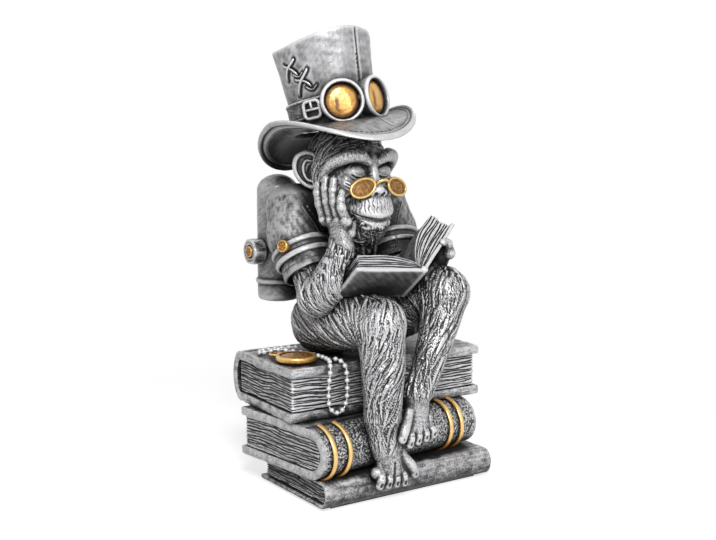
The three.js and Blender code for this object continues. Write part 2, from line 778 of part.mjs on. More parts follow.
function goggleBridge() {
  const [from, to] = goggle.azimuths;
  const points = [0, 0.5, 1].map((t) => {
    const angle = radians(from + (to - from) * (0.34 + 0.32 * t));
    const radius = crownRadius(goggle.height) + bandFace + goggleBridgeReach;
    return station([radius * Math.sin(angle), -radius * Math.cos(angle), goggle.height + 0.5], 1.6, 2);
  });
  return limb(points, { around: 8, rows: 3, domes: [0.2, 0.2] });
}

function addHat(cutters) {
  const group = new THREE.Group();
  group.position.set(...hatPlace.at);
  group.quaternion.setFromRotationMatrix(matrixOf({ turn: hatPlace.turn }));
  ape.add(group);
  const inward = matrixOf(hatPlace).invert();
  const local = cutters.map((cutter) => moved(cutter, inward));
  const crownKeep = hatCrown();
  const band = hatBandBody();
  const bandCut = hatBandBody(fit);
  const seated = (body) => goggle.azimuths.map((azimuth) => onCrown(body, azimuth, goggle.height, bandFace));
  const rims = seated(facingFront(goggleRim()));
  const lenses = seated(facingFront(goggleLens()));
  const eyepiece = rod(goggle.radius + fit, 2 * (goggle.depth + goggle.root), 24);
  const fullRims = seated(placed(eyepiece, { turn: [90, 0, 0] }));
  piece('hat_crown', 'antique_silver', crownKeep, local, group);
  piece('hat_brim', 'antique_silver', hatBrim(), [...local, ...fullRims], group);
  const buckleOn = onCrown(buckleBody(), buckle.azimuth, buckle.level, bandFace + 0.2);
  mesh('hat_band', 'antique_silver', band, group);
  piece('hat_buckle', 'bright_silver', buckleOn, [bandCut, fullRims[0]], group);
  goggle.azimuths.forEach((azimuth, i) => {
    const side = sideName(azimuth);
    const trims = i ? [bandCut, hatCrown(fit), fullRims[0]] : [bandCut, hatCrown(fit)];
    piece(`goggle_rim_${side}`, 'bright_silver', rims[i], trims, group);
    piece(`goggle_lens_${side}`, 'antique_gold', lenses[i], trims, group);
  });
  piece('goggle_bridge', 'bright_silver', goggleBridge(), [...fullRims, bandCut], group);
}

// Spectacles: two oval rims and a bridge over the nose

const spectaclesPlace = { at: [headCentre.x + 2.4, headCentre.y - 24, headCentre.z - 5], turn: [-8, 0, 2] };

function lensPlace(side) {
  return { at: [(side * lensSpacing) / 2, 1.3, 0], turn: [0, side * lens.droop, side * 13] };
}

function ovalRod(grow, thickness, sides) {
  const shape = new THREE.Shape();
  shape.absellipse(0, 0, lens.halfWidth + grow, lens.halfHeight + grow, 0, 2 * Math.PI);
  const geometry = extrude(shape, thickness, { curveSegments: sides });
  return solid(geometry.translate(0, 0, -thickness / 2).rotateX(Math.PI / 2));
}

function spectaclesRims() {
  const rims = [-1, 1].map((side) => {
    const ring = ovalRod(lens.rim, 1.8, 8).subtract(ovalRod(0, 4, 8));
    return placed(ring, lensPlace(side));
  });
  const gap = lensSpacing / 2 - lens.halfWidth;
  const bridge = limb([
    station([-gap, 0.4, 1.2], 0.8),
    station([0, -1.4, 3], 0.8),
    station([gap, 0.4, 1.2], 0.8),
  ], { around: 6, rows: 4, domes: [0.2, 0.2], capRows: 1 });
  const holes = [-1, 1].map((side) => placed(ovalRod(0, 6, 8), lensPlace(side)));
  return without(union([...rims, bridge]), holes);
}

// The open book lies on the knees with its left half raised

// The gutter parts the two page blocks: a thin wall on the line between the halves
function gutter() {
  const middle = (180 - openBook.rightRise + openBook.leftRise) / 2;
  const wall = box(80, openBook.length + 2, fit);
  return placed(placed(wall, { at: [40, 0, 0] }), { turn: [0, -middle, 0] });
}

const openBookPlace = { at: [openBook.x, openBook.y, openBook.z], turn: [-openBook.pitch, 0, -3] };

// Half of the book in its own frame: the spine runs along Y, X runs out, Z is up off the knees
function halfOutline(side, from, to, lift) {
  const rise = radians(side < 0 ? openBook.rightRise : openBook.leftRise);
  const out = (r, h) => [
    side * (r * Math.cos(rise) - h * Math.sin(rise)),
    r * Math.sin(rise) + h * Math.cos(rise),
  ];
  const shape = new THREE.Shape();
  const reach = openBook.halfWidth - (from > 0 ? 2.2 : 0);
  const start = from > 0 ? 1.2 : 0;
  const steps = 5;
  const bow = (t) => lift * Math.sin(t * Math.PI) ** 0.8;
  const points = [];
  for (let i = 0; i <= steps; i += 1) {
    const t = i / steps;
    points.push(out(start + (reach - start) * t, from));
  }
  for (let i = steps; i >= 0; i -= 1) {
    const t = i / steps;
    points.push(out(start + (reach - start) * t, to + bow(t) - (1 - t) ** 3 * (to - from) * 0.6));
  }
  points.forEach(([x, z], i) => (i ? shape.lineTo(x, z) : shape.moveTo(x, z)));
  return shape;
}

function alongY(shape, length) {
  const geometry = extrude(shape, length, { curveSegments: 4 });
  return solid(geometry.translate(0, 0, -length / 2).rotateX(Math.PI / 2));
}

function openBookCover(grow = 0) {
  const length = openBook.length + 2 * grow;
  const halves = [-1, 1].map((side) => alongY(halfOutline(side, -grow, openBook.cover + grow, 0), length));
  const spine = placed(rod(openBook.cover * 0.9 + grow, length, 10), {
    at: [0, 0, openBook.cover * 0.8], turn: [90, 0, 0],
  });
  return union([...halves, spine]);
}

function pageThickness(side) {
  return side < 0 ? openBook.rightPages : openBook.leftPages;
}

// The space that the whole open book takes
function openBookSpace() {
  const length = openBook.length + 2 * fit;
  const halves = [-1, 1].map((side) => {
    const top = openBook.cover + pageThickness(side) * 1.3 + fit;
    return alongY(halfOutline(side, -fit, top, 0), length);
  });
  return placed(union([...halves, openBookCover(fit)]), openBookPlace);
}

function openBookPages(side) {
  const thickness = pageThickness(side);
  const from = openBook.cover + fit;
  const layers = 4;
  const step = (thickness - 0.4) / layers;
  const sheets = [];
  for (let i = 0; i < layers; i += 1) {
    const length = openBook.length - 2 - (i % 2 ? 0 : 1);
    const low = from + i * step;
    const lift = (thickness * 0.25 * (i + 1)) / layers;
    sheets.push(alongY(halfOutline(side, low, low + step + 0.15, lift), length));
  }
  return without(union(sheets), [openBookCover(fit), gutter()]);
}

// Tanks

function tankBody(grow = 0) {
  const { radius, length, ring, ringHeight } = tank;
  const r = radius + grow;
  const profile = [
    [0, -grow], [r - 2.4, -grow], [r, 2.2], [r, ringHeight - 1.2],
    [r + ring, ringHeight - 0.6], [r + ring, ringHeight + 0.6], [r, ringHeight + 1.2],
  ];
  const domeStart = length - radius * 0.8;
  const steps = 4;
  for (let i = 0; i < steps; i += 1) {
    const angle = (i / steps) * (Math.PI / 2);
    profile.push([r * Math.cos(angle), domeStart + (length - domeStart + grow) * Math.sin(angle)]);
  }
  profile.push([0, length + grow]);
  return lathe(profile, 14);
}

function tankPlace(side) {
  return { at: [side * tank.x, tank.y, tank.bottom] };
}

// A hexagonal nut with a washer face and a domed gold stud, on the tank's outer side
function nutBody() {
  const hexagon = solid(new THREE.CylinderGeometry(
    tankNut.across / Math.sqrt(3) - 0.6, tankNut.across / Math.sqrt(3), tankNut.thickness, 6,
  ));
  const radius = tankNut.stud + fit;
  const hole = solid(new THREE.CylinderGeometry(radius, radius, 2 * tankNut.thickness, 12));
  return hexagon.subtract(hole);
}

function studBody(radius, height) {
  return solid(new THREE.LatheGeometry([
    [0, -1.6], [radius, -1.6], [radius, height - 0.9], [radius * 0.82, height - 0.2],
    [0, height + 0.2],
  ].map(([r, z]) => new THREE.Vector2(r, z)), 12));
}

// Sets a piece whose axis is Y on a point, with its axis along a normal
function facing(body, at, normal) {
  const turn = new THREE.Quaternion().setFromUnitVectors(new THREE.Vector3(0, 1, 0), normal);
  return moved(body, new THREE.Matrix4().compose(at, turn, new THREE.Vector3(1, 1, 1)));
}

function addTanks(jacketCut, sleeveCuts) {
  const tankCut = [-1, 1].map((side) => placed(tankBody(fit), tankPlace(side)));
  [-1, 1].forEach((side, i) => {
    const name = sideName(side);
    piece(`tank_${name}`, 'antique_silver', placed(tankBody(), tankPlace(side)), [jacketCut]);
    const out = new THREE.Vector3(side, 0, 0);
    const reach = tank.x + tank.radius + tankNut.thickness / 2 - 0.9;
    const at = vector([side * reach, tank.y, tankNut.height]);
    const trims = [tankCut[i], ...sleeveCuts];
    const nut = facing(nutBody(), at, out);
    piece(`tank_nut_${name}`, 'antique_silver', nut, trims);
    const stud = facing(studBody(tankNut.stud, tankNut.thickness / 2 + 0.6), at, out);
    piece(`tank_stud_${name}`, 'antique_gold', stud, trims);
  });
  const plate = placed(box(backPlate.width, backPlate.thickness + 4, backPlate.height), {
    at: [0, tank.y - 2, backPlate.bottom + backPlate.height / 2],
  });
  piece('tank_bracket', 'antique_silver', plate, [...tankCut, jacketCut]);
  return tankCut;
}

// Watch and chain. Both lie on the top book, in the seat's frame.

function watchBody() {
  const { radius, thickness, rim, bow } = watch;
  const body = lathe([
    [0, 0], [radius - 1, 0], [radius, 0.9], [radius, thickness - 0.9], [radius - 0.6, thickness],
    [radius - rim - 0.4, thickness], [radius - rim - 0.9, thickness - 0.6], [0, thickness],
  ], 18);
  const crownKnob = placed(rod(1.3, 2.6, 10), { at: [0, radius + 0.9, thickness / 2], turn: [90, 0, 0] });
  const loop = solid(new THREE.TorusGeometry(bow, 0.65, 5, 10));
  return union([body, crownKnob, placed(loop, { at: [0, radius + bow + 1.6, thickness / 2 - 0.2] })]);
}

// The chain's way: a narrow loop behind the watch, past its front, over the book's edge in a
// hanging bight, and back under the thigh
function chainLine() {
  const r = bead.diameter / 2 + fit;
  const rest = seats.top - seats.ape + fit + spineBand.height + r;
  const edge = -topBook.depth / 2 + topBook.y - 1.2;
  const low = edge - 2.6;
  const overBow = r + 2.4;
  const points = [
    [-26.5, 30.5, r], [-29.7, 32, r], [-34.7, 33.8, r], [-40.6, 35.1, r], [-46, 33.5, r],
    [-50, 29.5, r], [-49, 24.8, r + 1], [-44.5, 21.5, overBow], [-38, 18.6, r + 1.2], [-32, 14.5, r],
    [-30.2, 7, r], [-30.5, 0.2, r], [-31.6, -4.5, r],
    [-33.5, edge + 1.3, r - 0.2], [-35, edge - 1.9, -1.5],
    [-36.4, low, -8], [-36.6, low, -16], [-35.2, low, rest + 2], [-32, edge - 3, rest],
    [-28.4, low, rest + 2], [-26.6, low, -16], [-26.4, low, -8], [-26.5, edge - 1.9, -1.5],
    [-26.9, edge + 1.3, r - 0.2], [-28, -2, r],
  ];
  return new THREE.CatmullRomCurve3(points.map(vector));
}

// Beads on a wire, as one body: the section swells to a bead at every pitch
function chainBody() {
  const line = chainLine();
  const count = Math.round(line.getLength() / bead.pitch);
  const perBead = 3;
  const rows = count * perBead;
  const frames = line.computeFrenetFrames(rows);
  const radius = bead.diameter / 2;
  const steps = [0, 0.26, 0.74];
  return skin(5, rows, (u, v) => {
    const row = Math.round(v * rows);
    const step = steps[row % perBead] * radius * 2 - radius;
    const middle = (Math.floor(row / perBead) + 0.5) * bead.pitch;
    const along = THREE.MathUtils.clamp((middle + step) / (count * bead.pitch), 0, 1);
    const half = Math.sqrt(Math.max(radius ** 2 - step ** 2, (bead.link / 2) ** 2));
    const swell = row === 0 || row === rows ? 0 : half;
    const angle = u * 2 * Math.PI;
    return line.getPointAt(along)
      .addScaledVector(frames.normals[row], Math.cos(angle) * swell)
      .addScaledVector(frames.binormals[row], Math.sin(angle) * swell);
  });
}

// Assembly of the ape: each piece is trimmed to the ones that it lies against

function bookCutters() {
  const toApe = ape.matrix.clone().setPosition(0, 0, -seats.ape);
  return [
    [bottomBook, seats.bottom], [middleBook, seats.middle], [topBook, seats.top],
  ].map(([book, level]) => {
    const frame = bookFrame(book, level);
    return moved(bookCase(book, fit), toApe.clone().multiply(frame.matrixWorld));
  });
}

function addApe() {
  const books = bookCutters();
  const openCut = openBookSpace();
  const jacketSkin = torsoBody(jacketThickness);
  const jacketCut = torsoBody(jacketThickness + fit);
  const sleeveCuts = [-1, 1].map((side) => sleeve(side, fit));
  const forearmCuts = [-1, 1].map((side) => forearm(side, fit));
  const headCut = headBody(fit);
  const noseCut = placed(nose(fit), headPlace);
  const hatCut = [hatCrown(fit), hatBrim(fit)].map((body) => placed(body, hatPlace));

  const tankCut = addTanks(jacketCut, sleeveCuts);
  piece('torso', 'antique_silver', torsoBody(), books);

  const trunk = placed(box(90, 90, jacketTop - jacketHem), { at: [0, 28, (jacketTop + jacketHem) / 2] });
  const opening = placed(box(14, 40, 90), { at: [-3, 0, 50] });
  const jacketTrims = [torsoBody(fit), opening, headCut, ...tankCut];
  piece('jacket', 'dark_silver', jacketSkin.intersect(trunk), jacketTrims);

  const collarRing = (inner, outer) => limbBand(torsoStations, {
    up: new THREE.Vector3(0, -1, 0), from: 0.8, to: 0.95, inner, outer,
  });
  const collar = collarRing(jacketThickness, jacketThickness + 2.2);
  const collarCut = collarRing(0, jacketThickness + 2.2 + fit);
  piece('jacket_collar', 'dark_silver', collar, [jacketCut, headCut, ...sleeveCuts]);

  [-1, 1].forEach((side, i) => {
    const name = sideName(side);
    const otherThigh = side < 0 ? [] : [thigh(-1, fit)];
    const thighTrims = [torsoBody(fit), openCut, jacketCut, ...forearmCuts, ...otherThigh, ...books];
    piece(`${name}_thigh`, 'antique_silver', thigh(side), thighTrims);
    piece(`${name}_shin`, 'antique_silver', shin(side), [thigh(side, fit), openCut, ...books]);
    const otherFoot = side < 0 ? [] : [foot(-1, fit), shin(-1, fit)];
    piece(`${name}_foot`, 'antique_silver', foot(side), [shin(side, fit), ...otherFoot, ...books]);

    const sleeveTrims = [jacketCut, forearmCuts[i], ...tankCut, headCut, openCut];
    piece(`${name}_sleeve`, 'dark_silver', sleeve(side), sleeveTrims);
    const stations = sleeveStations(side);
    const { from, to, height, groove } = sleeveStrap;
    const strap = limbBand(stations, { up: sleeveUp, from, to, inner: fit, outer: fit + height, groove });
    const strapCut = limbBand(stations, { up: sleeveUp, from, to, inner: 0, outer: height + 2 * fit });
    piece(`${name}_sleeve_strap`, 'antique_silver', strap, [jacketCut, openCut, ...tankCut]);
    const surface = limbShape(stations, sleeveUp);
    const angle = radians(side < 0 ? 28 : 152);
    const spot = surface(sleeveStud.along, angle, height + 2 * fit);
    const normal = surface(sleeveStud.along, angle, 3 * height).sub(spot).normalize();
    const stud = facing(studBody(sleeveStud.radius, sleeveStud.height), spot, normal);
    piece(`${name}_sleeve_stud`, 'antique_gold', stud, [strapCut, sleeveCuts[i]]);

    const armTrims = side < 0 ? [jacketCut] : [jacketCut, openCut];
    piece(`${name}_forearm`, 'antique_silver', forearm(side), armTrims);
    const handBody = side < 0 ? rightHand() : leftHand();
    const handTrims = [forearmCuts[i], headCut, openCut, thigh(side, fit)];
    piece(`${name}_hand`, 'antique_silver', handBody, handTrims);

    const earSolid = placed(earBody(), earPlace(side));
    const earTrims = [headCut, jacketCut, collarCut, ...sleeveCuts, ...hatCut];
    piece(`${name}_ear`, 'antique_silver', earSolid, earTrims);
  });

  const openTrims = [forearmCuts[0]];
  const reading = new THREE.Group();
  ape.add(reading);
  piece('open_book_cover', 'dark_silver', placed(openBookCover(), openBookPlace), openTrims, reading);
  [-1, 1].forEach((side) => {
    const pages = placed(openBookPages(side), openBookPlace);
    piece(`open_book_pages_${sideName(side)}`, 'page_silver', pages, openTrims, reading);
  });

  const headTrims = [torsoBody(fit), jacketCut, mouthGroove(), placed(hatBrim(fit), hatPlace)];
  piece('head', 'antique_silver', headBody(), headTrims);
  addHat([headBody(fit)]);

  const rimsPlaced = placed(spectaclesRims(), spectaclesPlace);
  piece('spectacles_frame', 'antique_gold', rimsPlaced, [noseCut]);
  [-1, 1].forEach((side) => {
    const glass = placed(placed(ovalRod(-fit, lens.thickness, 8), lensPlace(side)), spectaclesPlace);
    piece(`spectacles_lens_${sideName(side)}`, 'antique_gold', glass, [headCut]);
  });
}

function addWatchAndChain() {
  const watchNode = mesh('pocket_watch', 'antique_gold', watchBody(), ape);
  watchNode.position.set(watch.x, watch.y, fit);
  watchNode.rotation.z = radians(watch.turn);
  mesh('bead_chain', 'bead_metal', chainBody(), ape);
}

addBooks();
addApe();
addWatchAndChain();

export default part;
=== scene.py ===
import math

import bpy
import numpy as np
from mathutils import Euler, Matrix, Vector


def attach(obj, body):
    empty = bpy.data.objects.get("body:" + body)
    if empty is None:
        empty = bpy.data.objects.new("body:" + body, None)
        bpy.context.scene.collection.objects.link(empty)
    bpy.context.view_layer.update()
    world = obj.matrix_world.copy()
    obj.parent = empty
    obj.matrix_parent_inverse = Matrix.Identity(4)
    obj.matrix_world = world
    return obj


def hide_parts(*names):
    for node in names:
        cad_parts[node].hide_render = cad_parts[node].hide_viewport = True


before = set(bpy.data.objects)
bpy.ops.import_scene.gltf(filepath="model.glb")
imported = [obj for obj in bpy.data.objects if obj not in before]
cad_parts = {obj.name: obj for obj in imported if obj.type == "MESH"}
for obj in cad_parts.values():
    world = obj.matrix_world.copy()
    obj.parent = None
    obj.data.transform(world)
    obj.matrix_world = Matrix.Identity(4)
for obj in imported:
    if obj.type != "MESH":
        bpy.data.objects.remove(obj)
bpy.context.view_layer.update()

# Millimetres throughout, and metres only where a mesh is made. The ape's own frame has its
# origin on the seat.
MM = 0.001
SEAT = 63.3
SIDES = ((-1, "right"), (1, "left"))


def vec(*p):
    return np.array(p, float)


def unit(a):
    return a / np.maximum(np.linalg.norm(a, axis=-1, keepdims=True), 1e-9)


def generator(name):
    return np.random.default_rng(sum(ord(c) * (i + 1) for i, c in enumerate(name)))


def smooth_step(a, b, x):
    t = np.clip((x - a) / (b - a), 0, 1)
    return t * t * (3 - 2 * t)


def full_turn(count):
    return np.linspace(0, 2 * math.pi, count, endpoint=False)


def mirrored(side, points):
    """The points as they are for side 1, and with X turned round for side -1."""
    return [(side * x, y, z) for x, y, z in points]


def frame_matrix(at=(0, 0, 0), turn=(0, 0, 0)):
    turned = Euler([math.radians(a) for a in turn], "XYZ").to_matrix().to_4x4()
    return np.array(Matrix.Translation(Vector(at)) @ turned)


def carry(points, matrix):
    return points @ matrix[:3, :3].T + matrix[:3, 3]


def spline(points, count):
    """Points of a Catmull-Rom curve through the given rows, evenly spread over its spans."""
    p = np.asarray(points, float)
    p = np.vstack([2 * p[0] - p[1], p, 2 * p[-1] - p[-2]])
    t = np.linspace(0, len(p) - 3, count)
    i = np.minimum(t.astype(int), len(p) - 4)
    u = (t - i)[:, None]
    a, b, c, d = p[i], p[i + 1], p[i + 2], p[i + 3]
    return 0.5 * (2 * b + (c - a) * u + (2 * a - 5 * b + 4 * c - d) * u ** 2
                  + (3 * b - a - 3 * c + d) * u ** 3)


def even(points, step):
    """The same line with points at an even step."""
    gaps = np.linalg.norm(np.diff(points, axis=0), axis=1)
    s = np.concatenate([[0], np.cumsum(gaps)])
    t = np.linspace(0, s[-1], max(int(round(s[-1] / step)), 2) + 1)
    return np.stack([np.interp(t, s, points[:, k]) for k in range(3)], 1)


def share_along(p, start, end):
    """How far points lie along the way from start (0) to end (1)."""
    return ((p - start) @ (end - start)) / ((end - start) @ (end - start))


def wobble(p, size, seed=0):
    """Smooth noise in about -1..1 at points p, with features of the given size."""
    rng = np.random.default_rng(seed + 11)
    total = np.zeros(p.shape[:-1])
    for octave in range(3):
        for _ in range(4):
            k = unit(rng.normal(size=3)) * (2 * math.pi / size) * 1.7 ** octave
            k = k * rng.uniform(0.7, 1.3)
            total += np.sin(p @ k + rng.uniform(0, 6.3)) / 1.6 ** octave
    return total / 5


# Forms: vertices in millimetres and faces of four corners, with -1 in the fourth for triangles

class Form:
    def __init__(self, v, f):
        self.v = np.asarray(v, float)
        self.f = np.asarray(f, int)

    def moved(self, matrix):
        return Form(carry(self.v, matrix), self.f)

    def normals(self):
        a, b, c = (self.v[self.f[:, k]] for k in range(3))
        d = np.where(self.f[:, 3:] < 0, a, self.v[self.f[:, 3]])
        face = np.cross(c - a, d - b)
        face = np.where(self.f[:, 3:] < 0, np.cross(b - a, c - a), face)
        total = np.zeros_like(self.v)
        for k in range(4):
            use = self.f[:, k] >= 0
            for axis in range(3):
                total[:, axis] += np.bincount(self.f[use, k], face[use, axis], len(self.v))
        return unit(total)

    def edges(self):
        """The edges of every face as pairs of vertices, in the face's own direction."""
        quad = self.f[self.f[:, 3] >= 0]
        tri = self.f[self.f[:, 3] < 0][:, :3]
        return np.vstack([quad[:, [k, (k + 1) % 4]] for k in range(4)]
                         + [tri[:, [k, (k + 1) % 3]] for k in range(3)])

    def pairs(self):
        e = self.edges()
        return np.vstack([e, e[:, ::-1]])

    def averaged(self, x, rounds, pairs=None):
        """Values or points after each is set to the mean of its neighbours, round by round."""
        e = self.pairs() if pairs is None else pairs
        x = x.reshape(len(self.v), -1)
        degree = np.maximum(np.bincount(e[:, 0], minlength=len(self.v)), 1)
        for _ in range(rounds):
            x = np.stack([np.bincount(e[:, 0], x[e[:, 1], k], len(self.v))
                          for k in range(x.shape[1])], 1)
            x = x / degree[:, None]
        return x

    def uneven(self, *waves, plain=0.0, n=None):
        """Moves the surface out by a plain height and by waves of (height, size, seed)."""
        height = plain
        for tall, size, seed in waves:
            height = height + tall * wobble(self.v, size, seed)
        self.v += (self.normals() if n is None else n) * height[:, None]

    def relief(self, fine=0.07, broad=0.35):
        """Ridges above 0 and hollows below, from how the surface lies to its smoothed self."""
        n = self.normals()
        e = self.pairs()
        near = self.averaged(self.v, 2, e)
        far = self.averaged(near, 9, e)
        small = np.einsum("ij,ij->i", self.v - near, n)
        large = np.einsum("ij,ij->i", self.v - far, n)
        return 0.5 * np.tanh(small / fine) + 0.5 * np.tanh(large / broad)


def joined(forms):
    v, f, base = [], [], 0
    for form in forms:
        v.append(form.v)
        f.append(np.where(form.f < 0, -1, form.f + base))
        base += len(form.v)
    return Form(np.vstack(v), np.vstack(f))


def sheet(points, round_u=False, round_v=False, cap=False):
    """A skin over a grid of points; cap closes both ends of its rows (v round, u open)."""
    p = np.asarray(points, float)
    nu, nv = p.shape[:2]
    index = np.arange(nu * nv).reshape(nu, nv)
    a = index if round_u else index[:-1]
    b = np.roll(index, -1, 0) if round_u else index[1:]
    if not round_v:
        f = np.stack([a[:, :-1], b[:, :-1], b[:, 1:], a[:, 1:]], -1)
    else:
        f = np.stack([a, b, np.roll(b, -1, 1), np.roll(a, -1, 1)], -1)
    v, f = p.reshape(-1, 3), f.reshape(-1, 4)
    if cap:
        ends = []
        for row, turn in ((index[0], 1), (index[-1], -1)):
            centre = len(v)
            v = np.vstack([v, v[row].mean(0)])
            ring = row[::turn]
            ends.append(np.stack([ring, np.roll(ring, -1), np.full(nv, centre), np.full(nv, -1)], 1))
        f = np.vstack([f] + ends)
    return Form(v, f)


def facing_out(form):
    """Turns the faces round if the form's volume comes out negative."""
    a, b, c = (form.v[form.f[:, k]] for k in range(3))
    volume = np.einsum("ij,ij->i", a, np.cross(b, c)).sum()
    quad = form.f[:, 3] >= 0
    d = form.v[form.f[quad, 3]]
    volume += np.einsum("ij,ij->i", a[quad], np.cross(c[quad], d)).sum()
    if volume < 0:
        f = np.where(form.f[:, 3:] < 0, form.f[:, [0, 2, 1, 3]], form.f[:, [0, 3, 2, 1]])
        return Form(form.v, f)
    return form


def solid(rows):
    """A closed form over rings of points, with both ends closed to a middle point."""
    return facing_out(sheet(rows, round_v=True, cap=True))


def hoop(rows):
    """A closed form over rings of points, the last of which joins the first."""
    return facing_out(sheet(rows, round_u=True, round_v=True))


def turned(profile, segments):
    """Rings of points about Z, one for each (radius, height) of the profile."""
    p = np.asarray(profile, float)
    angle = full_turn(segments)
    return np.stack([p[:, :1] * np.cos(angle), p[:, :1] * np.sin(angle),
                     np.repeat(p[:, 1:], segments, 1)], -1)


def lathe(profile, segments):
    """A turned form about Z from (radius, height) points; ends on the axis are closed."""
    return solid(turned(profile, segments))


def dense(profile, step):
    """A profile with extra points so that no stretch is longer than the step."""
    p = np.asarray(profile, float)
    rows = [p[:1]]
    for a, b in zip(p[:-1], p[1:]):
        n = max(int(np.ceil(np.linalg.norm(b - a) / step)), 1)
        rows.append(a + (b - a) * (np.arange(1, n + 1) / n)[:, None])
    return np.vstack(rows)


def tube(path, radius, sides=8, closed=False, flat=1.0, up=None):
    """A rod along a line; radius may vary along it, and flat squeezes it across 'up'."""
    p = np.asarray(path, float)
    n = len(p)
    ahead = np.roll(p, -1, 0) - np.roll(p, 1, 0)
    if not closed:
        ahead[0], ahead[-1] = p[1] - p[0], p[-1] - p[-2]
    ahead = unit(ahead)
    side = np.zeros_like(p)
    axis = vec(0, 0, 1) if up is None else np.asarray(up, float)
    guide = axis if up is not None or abs(ahead[0] @ axis) < 0.9 else vec(0, 1, 0)
    for i in range(n):
        if up is None and i:
            guide = side[i - 1]
            s = guide - (guide @ ahead[i]) * ahead[i]
        else:
            s = np.cross(ahead[i], guide)
        side[i] = unit(s)
    over = np.cross(side, ahead)
    r = np.broadcast_to(np.asarray(radius, float), (n,))
    a = full_turn(sides)
    ring = (np.cos(a)[None, :, None] * side[:, None]
            + flat * np.sin(a)[None, :, None] * over[:, None])
    grid = p[:, None] + r[:, None, None] * ring
    if closed:
        return hoop(grid)
    # Each end has one more ring, smaller and a little further out
    end = 0.45
    grid = np.concatenate([p[0] + end * (grid[:1] - p[0]), grid, p[-1] + end * (grid[-1:] - p[-1])])
    grid[0] -= end * r[0] * ahead[0]
    grid[-1] += end * r[-1] * ahead[-1]
    return solid(grid)


def ball(centre, radius, around, rows):
    t = np.linspace(0, math.pi, rows + 1)[1:-1]
    a = full_turn(around)
    grid = np.stack([np.sin(t)[:, None] * np.cos(a), np.sin(t)[:, None] * np.sin(a),
                     np.repeat(np.cos(t)[:, None], around, 1)], -1)
    form = sheet(grid, round_v=True, cap=True)
    form.v[-2:] = [[0, 0, 1], [0, 0, -1]]
    form.v *= radius
    form.v += centre
    return facing_out(form)


# Clay: a signed distance field on a grid, negative inside, from which a skin is drawn

class Clay:
    def __init__(self, lo, hi, step):
        self.lo = np.array(lo, float)
        self.step = step
        self.count = np.ceil((np.array(hi) - self.lo) / step).astype(int) + 1
        self.d = np.full(self.count, 5.0, np.float32)

    def window(self, lo, hi):
        a = np.clip(np.floor((lo - self.lo) / self.step).astype(int), 0, self.count)
        b = np.clip(np.ceil((hi - self.lo) / self.step).astype(int) + 1, 0, self.count)
        cut = tuple(slice(i, j) for i, j in zip(a, b))
        axes = [(self.lo[k] + self.step * np.arange(a[k], b[k])).astype(np.float32)
                for k in range(3)]
        return cut, np.ix_(*axes)

    def blend(self, shape, k, sign):
        """Joins a shape on (sign 1) or takes it away (-1), with an edge rounded over k."""
        lo, hi, distance = shape
        margin = k + 1.5
        window, (x, y, z) = self.window(lo - margin, hi + margin)
        a, b = self.d[window], sign * distance(x, y, z).astype(np.float32)
        if k:
            h = np.clip(0.5 + 0.5 * sign * (a - b) / k, 0, 1)
            self.d[window] = a * (1 - h) + b * h - sign * k * h * (1 - h)
        else:
            self.d[window] = np.minimum(a, b) if sign > 0 else np.maximum(a, b)
        return self

    def add(self, shape, k=0.0):
        return self.blend(shape, k, 1)

    def cut(self, shape, k):
        return self.blend(shape, k, -1)

    def skin(self):
        """The surface where the field is zero, one point in each grid cell that it passes."""
        inside = self.d < 0
        total = np.zeros(np.array(inside.shape) - 1, np.uint8)
        corners = list(np.ndindex(2, 2, 2))
        for c in corners:
            total += inside[tuple(slice(o, o + s) for o, s in zip(c, total.shape))]
        active = (total > 0) & (total < 8)
        cells = np.argwhere(active)
        index = np.full(active.shape, -1)
        index[active] = np.arange(len(cells))
        place, crossings = np.zeros((len(cells), 3)), np.zeros(len(cells))
        value = {c: self.d[tuple((cells + c).T)] for c in corners}
        for a in corners:
            for axis in range(3):
                if a[axis]:
                    continue
                b = tuple(o + (k == axis) for k, o in enumerate(a))
                va, vb = value[a], value[b]
                cross = (va < 0) != (vb < 0)
                t = np.where(cross, va / np.where(cross, va - vb, 1), 0)
                at = np.array(a, float) + np.outer(t, np.eye(3)[axis])
                place[cross] += at[cross]
                crossings += cross
        v = self.lo + self.step * (cells + place / crossings[:, None])
        faces = []
        for axis in range(3):
            u, w = (axis + 1) % 3, (axis + 2) % 3
            here = [slice(1, -1)] * 3
            here[axis] = slice(0, -1)
            there = list(here)
            there[axis] = slice(1, None)
            first, second = inside[tuple(here)], inside[tuple(there)]
            for out, (p, q) in ((True, (first, second)), (False, (second, first))):
                at = np.argwhere(p & ~q)
                offset = np.ones(3, int)
                offset[axis] = 0
                at = at + offset
                ring = []
                for du, dw in ((-1, -1), (0, -1), (0, 0), (-1, 0)):
                    cell = at.copy()
                    cell[:, u] += du
                    cell[:, w] += dw
                    ring.append(index[tuple(cell.T)])
                quad = np.stack(ring, 1)
                faces.append(quad if out else quad[:, ::-1])
        return main_piece(Form(v, np.vstack(faces)))


def main_piece(form):
    """The largest connected piece of a form."""
    label = np.arange(len(form.v))
    e = form.pairs()
    while True:
        low = label.copy()
        np.minimum.at(low, e[:, 0], label[e[:, 1]])
        low = low[low]
        if (low == label).all():
            break
        label = low
    names, sizes = np.unique(label, return_counts=True)
    return kept(form, label[form.f[:, 0]] == names[sizes.argmax()])


def kept(form, faces):
    f = form.f[faces]
    used = np.zeros(len(form.v), bool)
    used[f[f >= 0]] = True
    number = np.cumsum(used) - 1
    return Form(form.v[used], np.where(f < 0, -1, number[f]))


